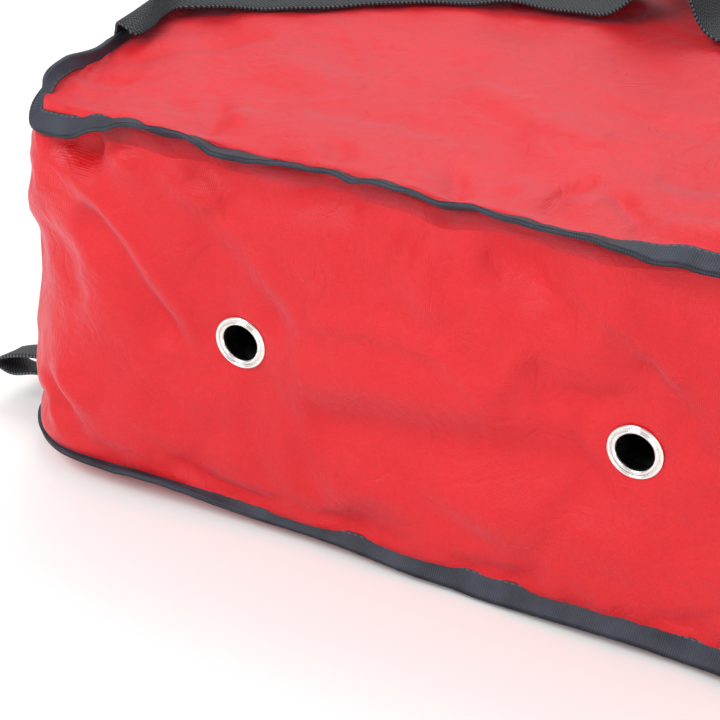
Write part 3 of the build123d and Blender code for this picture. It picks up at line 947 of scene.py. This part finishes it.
def base_panel():
    """The red bottom: level on the floor, and turned up at its rim to the base seam."""
    left, front, right, rear = four_sides(0.0)
    rear[:, 2] = 1.0 * MM
    grid = coons(left, right, front, rear)[::2, ::2]
    rows, columns = grid.shape[:2]
    v = np.linspace(0, 1, rows)[:, None]
    u = np.linspace(0, 1, columns)[None]
    edge = np.minimum(np.minimum(u, 1 - u) * 2 * half_x, (1 - v) * (rear_y - front_y))
    grid[..., 2] = grid[..., 2] * (1 - smoothstep(edge, 0, 22 * MM)) + 0.2 * MM
    flat = grid.reshape(-1, 3)
    piece = link("base_panel", flat, grid_faces(rows, columns), flat[:, :2] + 2.0)
    thicken(piece, 1.2 * MM, -1.0)
    dress(piece, RED)
    belongs(piece, "bag", "outer_fabric", "outer_bottom")
    return piece


def padded_slab(name, low, high, crown, cells, seed, flat_edge, corner=0.0):
    """Upright padded panel between two corners. Its padding rises from a flat edge, given for
    the sides, bottom and top, to full thickness within 10 mm, then the outer face is crowned by a
    product of sines and rippled. The bottom corners are rounded. The +Y face is the outer one."""
    u = np.linspace(0, 1, cells[0] + 1)
    v = np.linspace(0, 1, cells[1] + 1)
    uu, vv = np.meshgrid((u + (1 - np.cos(math.pi * u)) / 2) / 2, (v + (1 - np.cos(math.pi * v)) / 2) / 2)
    x = low[0] + (high[0] - low[0]) * uu
    z = low[2] + (high[2] - low[2]) * vv
    if corner:
        a = np.maximum(np.abs(x - (low[0] + high[0]) / 2) - (high[0] - low[0]) / 2 + corner, 0)
        b = np.maximum(low[2] + corner - z, 0)
        pull = 1 - np.minimum(corner / np.maximum(np.hypot(a, b), 1e-6), 1)
        x = x - np.sign(x - (low[0] + high[0]) / 2) * a * pull
        z = z + b * pull
    middle = (low[1] + high[1]) / 2
    half = (high[1] - low[1]) / 2
    to_side = np.minimum(x - low[0], high[0] - x)
    dome = smoothstep(to_side, flat_edge[0], flat_edge[0] + 10 * MM) ** 0.5
    dome = dome * smoothstep(z - low[2], flat_edge[1], flat_edge[1] + 10 * MM) ** 0.5
    dome = dome * smoothstep(high[2] - z, flat_edge[2], flat_edge[2] + 10 * MM) ** 0.5
    flat = np.stack([x, z], -1).reshape(-1, 2)
    ripple = (waves(flat, seed, 0.10) * 0.9 + waves(flat, seed + 1, 0.04) * 0.4).reshape(x.shape) * MM
    rim = 1.2 * MM
    swell = (np.sin(math.pi * uu) * np.sin(math.pi * vv)) ** 0.5
    outer = middle + rim + (half - rim - 1.5 * MM) * dome + (crown + 1.5 * MM) * dome * swell + ripple * dome
    inner = middle - rim - (half - rim) * dome
    a = np.stack([x, outer, z], -1).reshape(-1, 3)
    b = np.stack([x, inner, z], -1).reshape(-1, 3)
    faces_a = grid_faces(cells[1] + 1, cells[0] + 1)[:, ::-1]
    faces_b = grid_faces(cells[1] + 1, cells[0] + 1, len(a))
    ids = np.arange(len(a)).reshape(x.shape)
    loop = np.r_[ids[0], ids[1:, -1], ids[-1, ::-1][1:], ids[::-1, 0][1:-1]]
    nxt = np.roll(loop, -1)
    rim_faces = np.stack([loop, nxt, nxt + len(a), loop + len(a)], -1)
    faces = np.vstack([faces_a, faces_b, rim_faces])
    uv = np.vstack([flat, flat])
    piece = link(name, np.vstack([a, b]), faces, uv)
    dress(piece, RED, LINING)
    index = np.zeros(len(faces), np.int32)
    index[len(faces_a) : len(faces_a) + len(faces_b)] = 1
    piece.data.polygons.foreach_set("material_index", index)
    fix_normals(piece)
    return piece


def rear_lip():
    """The short padded wall under the opening."""
    low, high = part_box("rear_lip_outer")
    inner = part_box("rear_lip_lining")[0].y
    piece = padded_slab(
        "rear_lip", (low.x + 1 * MM, inner, 1 * MM), (high.x - 1 * MM, high.y, high.z),
        0.0, (90, 16), 41, (0.0, 0.0, 6 * MM),
    )
    belongs(piece, "bag", "outer_fabric", "rear_lip_outer", "rear_lip_foam", "rear_lip_lining")
    return piece


# ---------------------------------------------------------------------------
# Binding tapes
# ---------------------------------------------------------------------------
def tape_fold(width, thick):
    """Outline of a tape folded over a seam, as (out, up) pairs: a round fold at its outer end
    and two legs whose inner ends stand a little apart. The width is one for the whole fold."""
    r = thick / 2
    turn = np.linspace(-math.pi / 2, math.pi / 2, 7)
    bend = np.stack([width - r + r * np.cos(turn), r * np.sin(turn)], 1)
    upper = np.array([[0.80 * width, r * 0.92], [0.55 * width, r * 0.80], [0.30 * width, r * 0.95],
                      [0.06 * width, r * 1.25], [0.0, r * 1.15], [0.0, r * 0.5]])
    return np.vstack([bend, upper, upper[::-1] * [1, -1]])


def seam_fin(name, points, out, tilt, width, thick, nodes):
    """Tape folded over a seam: it stands out from the seam along a direction that turns up by
    tilt (radians, one for each point), rooted a little inside it. Widths may vary. It rides on the bag."""
    tilt = np.asarray(tilt)
    fin = np.concatenate([out * np.cos(tilt)[:, None], np.sin(tilt)[:, None]], 1)
    tangent = unit(np.gradient(points, axis=0))
    fin = unit(fin - (fin * tangent).sum(1, keepdims=True) * tangent)
    face = unit(np.cross(fin, tangent))
    outline = tape_fold(1.0, thick)
    a = outline[:, 0][None] * width[:, None]
    tip = width[:, None] - thick / 2 + (outline[:, 0][None] - 1 + thick / 2)
    a = np.where(outline[:, 0][None] > 1 - thick / 2, tip, a) - tape_root
    ripple = 0.28 * MM * waves(np.stack([points[:, 0] + points[:, 1], points[:, 2]], 1), 55, 0.011, 16)
    ripple = ripple[:, None] * smoothstep(a, 0, 0.008)
    b = outline[:, 1][None] + ripple
    verts = points[:, None] + a[..., None] * fin[:, None] + b[..., None] * face[:, None]
    n, m = a.shape
    faces = tube_faces(n, m)
    run = run_along(points)
    uv = np.stack([np.repeat(run, m), a.ravel()], 1)
    piece = link(name, verts.reshape(-1, 3), faces, uv)
    fix_normals(piece)
    dress(piece, TAPE)
    belongs(piece, "bag", "binding", *nodes)
    return piece


def top_binding():
    """The raised tape round the top: nearly edge-on to the front over most of the wall, turned
    down at the left corner and towards the right end."""
    run = np.linspace(0, total_run, int(total_run / tape_step))
    points = band_points(run, np.ones(len(run)))
    _, out = plan(run)
    x = front_x(run)
    tilt = np.full(len(run), math.radians(23.0))
    tilt -= math.radians(76) * bell(x, -0.194, 0.034)
    tilt += math.radians(14) * bell(x, -0.135, 0.014) - math.radians(8) * bell(x, -0.085, 0.02)
    tilt += math.radians(10) * bell(x, -0.010, 0.03)
    tilt -= math.radians(52) * smoothstep(x, 0.078, 0.120)
    tilt += math.radians(66) * smoothstep(-x, 0.206, 0.226)
    tilt += math.radians(44) * smoothstep(x, 0.205, 0.240)
    tilt += math.radians(6) * waves(x[:, None], 51, 0.06, 8)
    width = 11.0 * MM - 3.2 * MM * smoothstep(-x, 0.21, 0.235) + 0.5 * MM * waves(x[:, None], 52, 0.06, 8)
    width -= 5.5 * MM * bell(x, -0.213, 0.015)
    points[:, 2] += 0.4 * MM * waves(x[:, None], 53, 0.025, 10)
    return seam_fin("top_binding", points, out, tilt, width, 2.2 * MM, ["binding_top"])


def low_binding():
    """The tape round the base seam, folded down to the floor, and level along its left part."""
    run = np.linspace(0, total_run, int(total_run / tape_step))
    points = band_points(run, np.zeros(len(run)))
    _, out = plan(run)
    x = front_x(run)
    tilt = np.full(len(run), math.radians(-50.0)) + math.radians(6) * waves(x[:, None], 61, 0.07, 8)
    tilt += math.radians(58) * bell(x, -0.158, 0.062)
    points[:, 2] += 0.8 * MM - 1.8 * MM * bell(x, -0.158, 0.062)
    width = 7.0 * MM + 4.8 * MM * smoothstep(x, -0.075, 0.030) + 3.0 * MM * smoothstep(-x, 0.215, 0.25)
    room = (points[:, 2] - 1.4 * MM) / np.maximum(-np.sin(tilt), 0.2) + tape_root
    width -= 3.0 * MM * bell(x, -0.212, 0.03)
    width = np.minimum(width, room)
    return seam_fin("base_binding", points, out, tilt, width, 2.4 * MM, ["binding_bottom"])


def edge_tape(name, path, inward, wall, reach, body, *nodes):
    """Tape folded over a raw edge: a U in section, whose legs lie on both faces of a wall.
    Inward points from the edge into the wall; the wall's thickness is across it."""
    path = np.asarray(path, float)
    tangent = unit(np.gradient(path, axis=0))
    inward = unit(inward - (inward * tangent).sum(1, keepdims=True) * tangent)
    side = unit(np.cross(tangent, inward))
    t = 1.3 * MM
    half = wall / 2
    turn = np.linspace(-math.pi / 2, math.pi / 2, 9)
    outer_bend = np.stack([-(half * 0.35 + t) * np.cos(turn), (half + t) * np.sin(turn)], 1)
    inner_bend = np.stack([-half * 0.35 * np.cos(turn), half * np.sin(turn)], 1)[::-1]
    outline = np.vstack([
        [[reach, -half - 0.1 * MM]], [[reach, -half - t]], [[reach * 0.5, -half - t]], outer_bend,
        [[reach * 0.5, half + t]], [[reach, half + t]], [[reach, half + 0.1 * MM]],
        [[reach * 0.5, half]], inner_bend, [[reach * 0.5, -half]],
    ])
    verts = path[:, None] + outline[None, :, :1] * inward[:, None] + outline[None, :, 1:] * side[:, None]
    n, m = len(path), len(outline)
    faces = tube_faces(n, m)
    run = run_along(path)
    girth = run_along(outline)
    uv = np.stack(np.broadcast_arrays(run[:, None], girth[None] - reach), -1).reshape(-1, 2)
    piece = link(name, verts.reshape(-1, 3), faces, uv)
    fix_normals(piece)
    dress(piece, TAPE)
    return belongs(piece, body, "binding", *nodes)


def opening_bindings():
    """Tape over the raw edges of the opening: up both sides, under the top, along the lip."""
    low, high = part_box("binding_opening")
    mid = half_x - wall_t / 2
    top = (cavity_high + top_z) / 2 - 3.5 * MM
    path = catmull(
        [(-mid, rear_y, low.z - 8 * MM), (-mid, rear_y, 0.10), (-mid, rear_y, top - 8 * MM),
         (-mid + 8 * MM, rear_y, top), (0, rear_y, top), (mid - 8 * MM, rear_y, top),
         (mid, rear_y, top - 8 * MM), (mid, rear_y, 0.10), (mid, rear_y, low.z - 8 * MM)],
        4 * MM,
    )
    inward = np.tile([0.0, -1.0, 0.0], (len(path), 1))
    edge_tape("opening_binding", path, inward, wall_t + 0.5 * MM, 9 * MM, "bag", "binding_opening")
    lip_low, lip_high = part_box("rear_lip_outer")
    lip_y = (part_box("rear_lip_lining")[0].y + lip_high.y) / 2
    path = level_line(lip_low.x + 3 * MM, lip_high.x - 3 * MM, lip_y, lip_high.z, 90)
    inward = np.tile([0.0, 0.0, -1.0], (90, 1))
    edge_tape("lip_binding", path, inward, 4.5 * MM, 8 * MM, "bag")


# ---------------------------------------------------------------------------
# Flap
# ---------------------------------------------------------------------------
def flap_panel():
    """The flap's padded panel, flat under the tape round its edge."""
    low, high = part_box("flap_outer")
    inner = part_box("flap_lining")[0].y
    panel = padded_slab("flap_panel", (low.x, inner, low.z), (high.x, high.y, high.z),
                        0.5 * MM, (96, 44), 71, (6 * MM, 6 * MM, 0.0), corner=11 * MM)
    belongs(panel, "flap", "outer_fabric", "flap_outer", "flap_foam", "flap_lining")


def flap_edge():
    """Tape down one side of the flap, round its two lower corners and up the other side."""
    low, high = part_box("flap_binding")
    y = (low.y + high.y) / 2
    x = high.x - 2 * MM
    z = low.z + 2 * MM
    r = 11 * MM
    bend = np.linspace(0, math.pi / 2, 12)
    side_z = np.linspace(high.z, z + r, 40)[:-1]
    foot_x = np.linspace(-x + r, x - r, 100)[1:-1]
    path = np.stack([
        np.r_[np.full(39, -x), -x + r - r * np.cos(bend), foot_x, x - r + r * np.sin(bend), np.full(39, x)],
        np.full(200, y),
        np.r_[side_z, z + r - r * np.sin(bend), np.full(98, z), z + r - r * np.cos(bend), side_z[::-1]],
    ], 1)
    middle = np.array([0, y, 0.1])
    tangent = unit(np.gradient(path, axis=0))
    inward = np.cross(tangent, np.tile([0.0, 1.0, 0.0], (len(path), 1)))
    inward *= np.sign(((middle - path) * inward).sum(1, keepdims=True))
    edge_tape("flap_edge_binding", path, inward, 5.2 * MM, 8 * MM, "flap", "flap_binding")


def hinge_tapes():
    """The rolled seam that the flap turns on, and the tape that joins it to the top panel."""
    hinge = joints["flap_hinge"]["pos_m"]
    low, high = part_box("hinge_seam")
    count = 150
    turn = np.linspace(0, 2 * math.pi, 20, endpoint=False)
    bead = np.stack([3.4 * MM * np.cos(turn), 3.4 * MM * np.sin(turn)], 1)
    across = np.tile([0.0, 1.0, 0.0], (count, 1))
    roll = sweep("hinge_roll", level_line(low.x, high.x, hinge[1], hinge[2], count), across, bead)
    dress(roll, TAPE)
    belongs(roll, "bag", "binding")
    cover_from, cover_to = rear_y - 3.5 * MM, hinge[1] - 3.3 * MM
    path = level_line(low.x, high.x, (cover_from + cover_to) / 2, top_z - 0.4 * MM, count)
    cover = sweep("hinge_tape", path, across, tape_section(cover_to - cover_from, 1.8 * MM))
    dress(cover, TAPE)
    belongs(cover, "bag", "binding", "hinge_seam")


def flap_head():
    """The flap's unpadded top edge: a flat sleeve of cloth between the padding and the roll."""
    low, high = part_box("flap_outer")
    hinge_z = joints["flap_hinge"]["pos_m"][2]
    count = 120
    z = (high.z + hinge_z) / 2 - 1.5 * MM
    path = level_line(low.x + 2 * MM, high.x - 2 * MM, high.y - 2.6 * MM, z, count)
    across = np.tile([0.0, 0.0, 1.0], (count, 1))
    sleeve = sweep("flap_head", path, across, tape_section(hinge_z - high.z + 5 * MM, 2.2 * MM))
    dress(sleeve, RED)
    belongs(sleeve, "flap", "outer_fabric")


def pull_tab():
    """Short strap at the flap's foot that curves away from it."""
    low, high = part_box("pull_tab")
    x = (low.x + high.x) / 2
    face = low.y + 0.6 * MM
    path = catmull(
        [(x, face, high.z), (x, face + 0.5 * MM, high.z - 12 * MM),
         (x, face + 3 * MM, low.z + 8 * MM), (x, face + 7 * MM, low.z - 2 * MM)],
        2 * MM,
    )
    across = np.tile([1.0, 0.0, 0.0], (len(path), 1))
    tab = sweep("pull_tab_web", path, across, tape_section(high.x - low.x, 1.9 * MM))
    dress(tab, WEB)
    belongs(tab, "flap", "webbing", "pull_tab")


def strip(box, name, material, node, body):
    """Closure strip: a thin sheet with rounded long edges, flat on its panel."""
    low, high = box
    count = 80
    path = level_line(low.x, high.x, (low.y + high.y) / 2, (low.z + high.z) / 2, count)
    across = np.tile([0.0, 0.0, 1.0], (count, 1))
    piece = sweep(name, path, across, tape_section(high.z - low.z, high.y - low.y))
    dress(piece, material)
    belongs(piece, body, "hook_loop", node)
    return piece


# ---------------------------------------------------------------------------
# Eyelets
# ---------------------------------------------------------------------------
def lathe(name, profile, centre, material, steps=72):
    """Closed profile of (radius, depth) pairs turned about an axis along Y."""
    profile = np.asarray(profile, float)
    turn = np.linspace(0, 2 * math.pi, steps, endpoint=False)
    verts = np.zeros((steps, len(profile), 3))
    verts[..., 0] = centre.x + profile[None, :, 0] * np.cos(turn)[:, None]
    verts[..., 1] = profile[None, :, 1]
    verts[..., 2] = centre.z + profile[None, :, 0] * np.sin(turn)[:, None]
    m = len(profile)
    a = np.arange(steps)[:, None] * m
    b = (np.arange(steps)[:, None] + 1) % steps * m
    k = np.arange(m)[None]
    faces = np.stack([a + k, b + k, b + (k + 1) % m, a + (k + 1) % m], -1).reshape(-1, 4)
    piece = link(name, verts.reshape(-1, 3), faces)
    fix_normals(piece)
    dress(piece, material)
    belongs(piece, "bag", "nickel")
    return piece


def eyelet_parts():
    """Each eyelet: a rolled outer lip, a fine groove, a crowned flange that runs down into the
    barrel, and a washer on the inside."""
    for side, spot in eyelets.items():
        low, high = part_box(f"eyelet_{side}")
        outer = (high.x - low.x) / 2
        hole = eyelet_hole
        face = front_y - 0.1 * MM
        turn = np.linspace(math.radians(-60), math.radians(185), 9)
        lip_r = 0.85 * MM
        lip = np.stack([outer - lip_r + lip_r * np.cos(turn), face - lip_r - lip_r * np.sin(turn)], 1)
        crown_t = np.linspace(0, 1, 9)
        flange_in = hole + 0.3 * MM
        flange_out = outer - 2 * lip_r - 0.45 * MM
        crown = np.stack([
            flange_out + (flange_in - flange_out) * crown_t,
            face - 0.7 * MM - 1.15 * MM * np.sin(math.pi * (0.12 + 0.70 * crown_t)),
        ], 1)
        barrel = [(hole, face + 0.4 * MM), (hole - 0.05 * MM, high.y), (hole + 0.6 * MM, high.y),
                  (hole + 0.7 * MM, face + 0.2 * MM), (outer - 1.2 * MM, face)]
        groove = [(flange_out + 0.35 * MM, face - 0.35 * MM)]
        profile = np.vstack([lip, groove, crown, barrel])
        ring = lathe(f"eyelet_{side}_ring", profile, spot, NICKEL)
        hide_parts(f"eyelet_{side}")
        w_low, w_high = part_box(f"eyelet_washer_{side}")
        back = [(hole + 0.8 * MM, w_low.y), (outer - 0.3 * MM, w_low.y), (outer, w_low.y + 0.3 * MM),
                (outer - 1.5 * MM, w_high.y + 0.2 * MM), (hole + 1.5 * MM, w_high.y + 0.9 * MM),
                (hole + 0.8 * MM, w_high.y + 0.6 * MM)]
        washer = lathe(f"washer_{side}", back, spot, NICKEL, 48)
        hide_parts(f"eyelet_washer_{side}")


# ---------------------------------------------------------------------------
# Webbing handles and grab loops
# ---------------------------------------------------------------------------
def reach_of(shell, spots, normal, window=5 * MM):
    """Furthest reach of the shell along a direction, near each spot in the plane square to it."""
    co = coordinates(shell).astype(np.float32)
    normal = np.asarray(normal, np.float32)
    spots = np.asarray(spots, np.float32)
    height = co @ normal
    outer = height > 0.9 * height.max() - 6 * MM
    flat = np.delete(co[outer], int(np.abs(normal).argmax()), axis=1)
    at = np.delete(spots, int(np.abs(normal).argmax()), axis=1)
    height = height[outer]
    best = np.full(len(at), -1.0)
    for k in range(0, len(at), 200):
        gap = np.abs(at[k : k + 200, None] - flat[None]).max(2)
        best[k : k + 200] = np.where(gap < window, height[None], -1.0).max(1)
    return best


# One end of a handle webbing as its (near edge, far edge) places in mm, from the foot of the end
# wall, over the top edge, turned back along it in a skewed fold, to the slack run over the top.
# y is the distance from the middle plane.
HANDLE_END = (
    ((219, 169, 12), (219, 129, 12)), ((219, 169, 60), (219, 129, 60)),
    ((219, 169, 120), (219, 129, 120)), ((218, 169, 160), (218, 129, 160)),
    ((215, 168, 181), (215, 129, 181)), ((211, 170, 193), (211, 130, 193)),
    ((208, 173, 200), (209, 132, 201)), ((201, 178, 201), (207, 134, 204)),
    ((195, 178, 198), (207, 136, 204)), ((195, 163, 197), (209, 124, 203)),
    ((198, 146, 197), (211, 107, 202)), ((197, 133, 197), (209, 97, 201)),
    ((185, 127, 197), (204, 92, 199)), ((167, 120, 197), (184, 84, 197)),
    ((145, 112, 197), (162, 76, 197)), ((120, 92, 197), (141, 58, 197)), ((88, 70, 197), (107, 35, 197)),
)
HANDLE_MIDDLE = (
    # the run to the hump, which stands up at the middle of the webbing, and away from it
    ((-58, 55, 197), (-70, 17, 197)), ((-25, 48, 197), (-29, 8, 197)), ((-8, 46, 199), (-9, 6, 199)),
    ((5, 44, 211), (5, 5, 211)), ((8, 43, 225), (8, 4, 225)), ((18, 43, 235), (18, 4, 235)),
    ((28, 43, 226), (28, 4, 226)), ((31, 45, 213), (30, 6, 213)), ((41, 48, 200), (39, 9, 200)),
    ((62, 56, 197), (50, 18, 197)),
)


def handle(row, s, shell, seed):
    """One webbing from its left anchor, up the end wall, over the top edge in a skewed fold, slack
    across the top with a narrow hump at the middle, and down to the right anchor. It rests on
    the shell wherever that is higher than its own route."""
    stations = (
        [((-n[0], n[1], n[2]), (-f[0], f[1], f[2])) for n, f in HANDLE_END]
        + list(HANDLE_MIDDLE) + [(n, f) for n, f in HANDLE_END[::-1]]
    )
    table = np.array(stations, float) * MM
    table[..., 1] *= s
    fine = catmull(np.concatenate([table.mean(1), table[:, 0], table[:, 1]], 1), 2.5 * MM)
    near, far = fine[:, 3:6], fine[:, 6:9]
    lanes = near[:, None] + (far - near)[:, None] * np.linspace(0.04, 0.96, 5)[None, :, None]
    spots = lanes.reshape(-1, 3)
    rest = reach_of(shell, spots, (0, 0, 1)).reshape(lanes.shape[:2])
    ahead = lanes[..., 2] > top_z - 8 * MM
    need = np.where(ahead, rest + 1.6 * MM, 0.0)
    lift = np.maximum(need - lanes[..., 2], 0).max(1)
    lift = np.convolve(np.pad(lift, 6, "edge"), np.hanning(15)[1:-1] / np.hanning(15).sum(), "valid")
    free = smoothstep(near[:, 2], top_z - 6 * MM, top_z + 2 * MM)[:, None]
    up = (lift * 1.15)[:, None] * free * [0.0, 0.0, 1.0]
    flutter = 0.9 * MM * (waves(near[:, :1], seed, 0.045, 8) + 1.0)[:, None] * free * [0.0, 0.0, 1.0]
    near = near + up + flutter
    far = far + up
    low_part = (near[:, 2] < top_z + 1 * MM)
    for side in (-1.0, 1.0):
        mine = low_part & (near[:, 0] * side > 0)
        wall = reach_of(shell, np.vstack([near[mine], far[mine], (near + far)[mine] / 2]), (side, 0, 0))
        wall = wall.reshape(3, -1).max(0)
        out = np.maximum(wall + 1.6 * MM, np.abs(near[mine, 0]))
        near[mine, 0] = side * out
        far[mine, 0] = side * out
    path = (near + far) / 2
    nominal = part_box(f"anchor_strap_{row}_left")[1].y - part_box(f"anchor_strap_{row}_left")[0].y
    section = tape_section(nominal, 1.9 * MM)
    piece = sweep(f"{row}_handle_webbing", path, far - near, section, square=False)
    dress(piece, WEB)
    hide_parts(f"handle_{row}", f"anchor_strap_{row}_left", f"anchor_strap_{row}_right")
    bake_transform(piece)
    return piece


def grab_loop(side, sign):
    """Folded webbing that stands out from the end wall and droops, on its sewn patch."""
    low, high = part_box(f"grab_loop_{side}")
    y = (low.y + high.y) / 2
    z = (low.z + high.z) / 2
    root = sign * (half_x + 5.0 * MM)
    tip = max(abs(low.x), abs(high.x)) * sign
    path = catmull(
        [(root, y, z + 5.0 * MM), (root + sign * 10 * MM, y, z + 6.4 * MM),
         (root + sign * 24 * MM, y, z + 4.4 * MM), (tip - sign * 3 * MM, y, z - 0.5 * MM),
         (tip - sign * 1 * MM, y, z - 5 * MM), (tip - sign * 9 * MM, y, z - 8.0 * MM),
         (root + sign * 18 * MM, y, z - 4.0 * MM), (root + sign * 7 * MM, y, z - 3.0 * MM),
         (root + sign * 2 * MM, y, z - 3.0 * MM)],
        1.5 * MM,
    )
    across = np.tile([0.0, 1.0, -0.22], (len(path), 1))
    loop = sweep(f"{side}_grab_loop_web", path, across, tape_section(high.y - low.y - 3 * MM, 1.8 * MM))
    dress(loop, WEB)
    belongs(loop, f"grab_loop_{side}", "webbing", f"grab_loop_{side}")
    p_low, p_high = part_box(f"loop_patch_{side}")
    face = sign * (half_x + 7.5 * MM)
    path = np.stack([np.full(12, face), np.full(12, y), np.linspace(p_low.z, p_high.z, 12)], 1)
    across = np.tile([0.0, 1.0, 0.0], (12, 1))
    patch = sweep(f"{side}_loop_patch_web", path, across, tape_section(p_high.y - p_low.y, 2.4 * MM))
    dress(patch, WEB)
    belongs(patch, "bag", "webbing", f"loop_patch_{side}")


# ---------------------------------------------------------------------------
# Build
# ---------------------------------------------------------------------------
shell = outer_shell()
lining_shell()
base_panel()
rear_lip()
top_binding()
low_binding()
opening_bindings()
flap_panel()
flap_edge()
strip(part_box("closure_hook_strip"), "hook_closure", HOOK, "closure_hook_strip", "flap")
strip(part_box("closure_loop_strip"), "loop_closure", LOOP, "closure_loop_strip", "bag")
hinge_tapes()
flap_head()
pull_tab()
eyelet_parts()
handle("front", -1, shell, 81)
handle("rear", 1, shell, 83)
grab_loop("left", -1)
grab_loop("right", 1)
dress(frame["nodes"]["base_board"], BOARD)
dress(frame["nodes"]["foam_bottom"], FOAM)


# ---------------------------------------------------------------------------
# Studio
# ---------------------------------------------------------------------------
def studio():
    """Pale floor, white surround, a large key above and behind the camera's left."""
    floor_size = 6.0
    floor = link(
        "floor",
        [(-floor_size, -floor_size, 0), (floor_size, -floor_size, 0), (floor_size, floor_size, 0),
         (-floor_size, floor_size, 0)],
        [(0, 1, 2, 3)],
    )
    paint = Nodes("floor_paint")
    grain = paint.noise(3.0, 2.0, 0.5)
    dress(floor, paint.finish(paint.ramp(grain, 0.0, 1.0, (0.90, 0.90, 0.90), (0.93, 0.93, 0.93)), None,
                              None, Roughness=0.9))
    world = bpy.data.worlds.new("studio")
    scene.world = world
    world.use_nodes = True
    world.node_tree.nodes["Background"].inputs[0].default_value = (1, 1, 1, 1)
    world.node_tree.nodes["Background"].inputs[1].default_value = 0.66
    for name, place, size, power in (
        ("key", (-0.8, -1.5, 1.7), 1.1, 29.0),
        ("fill", (1.7, -1.8, 1.0), 1.6, 13.0),
        ("overhead", (-0.2, 1.1, 2.0), 1.6, 22.0),
    ):
        light = bpy.data.lights.new(name, "AREA")
        light.size = size
        light.energy = power
        lamp = bpy.data.objects.new(name, light)
        scene.collection.objects.link(lamp)
        lamp.location = place
        lamp.rotation_euler = (Vector((0, -0.1, 0.1)) - Vector(place)).to_track_quat("-Z", "Y").to_euler()


def camera():
    """Close three-quarter view of the front wall, from its right and above."""
    azimuth, height = math.radians(28.3), math.radians(30.6)
    level = math.cos(height)
    back = Vector((math.sin(azimuth) * level, -math.cos(azimuth) * level, math.sin(height)))
    right = Vector((math.cos(azimuth), math.sin(azimuth), 0))
    up = back.cross(right)
    target = Vector((-0.0352, front_y, 0.1045))
    data = bpy.data.cameras.new("camera")
    data.sensor_width = 36.0
    data.lens = 115.0
    data.clip_start = 0.01
    eye = bpy.data.objects.new("camera", data)
    scene.collection.objects.link(eye)
    place = target + back * 1.012
    eye.matrix_world = Matrix.Translation(place) @ Matrix((right, up, back)).transposed().to_4x4()
    scene.camera = eye


studio()
camera()
scene.view_settings.view_transform = "Standard"
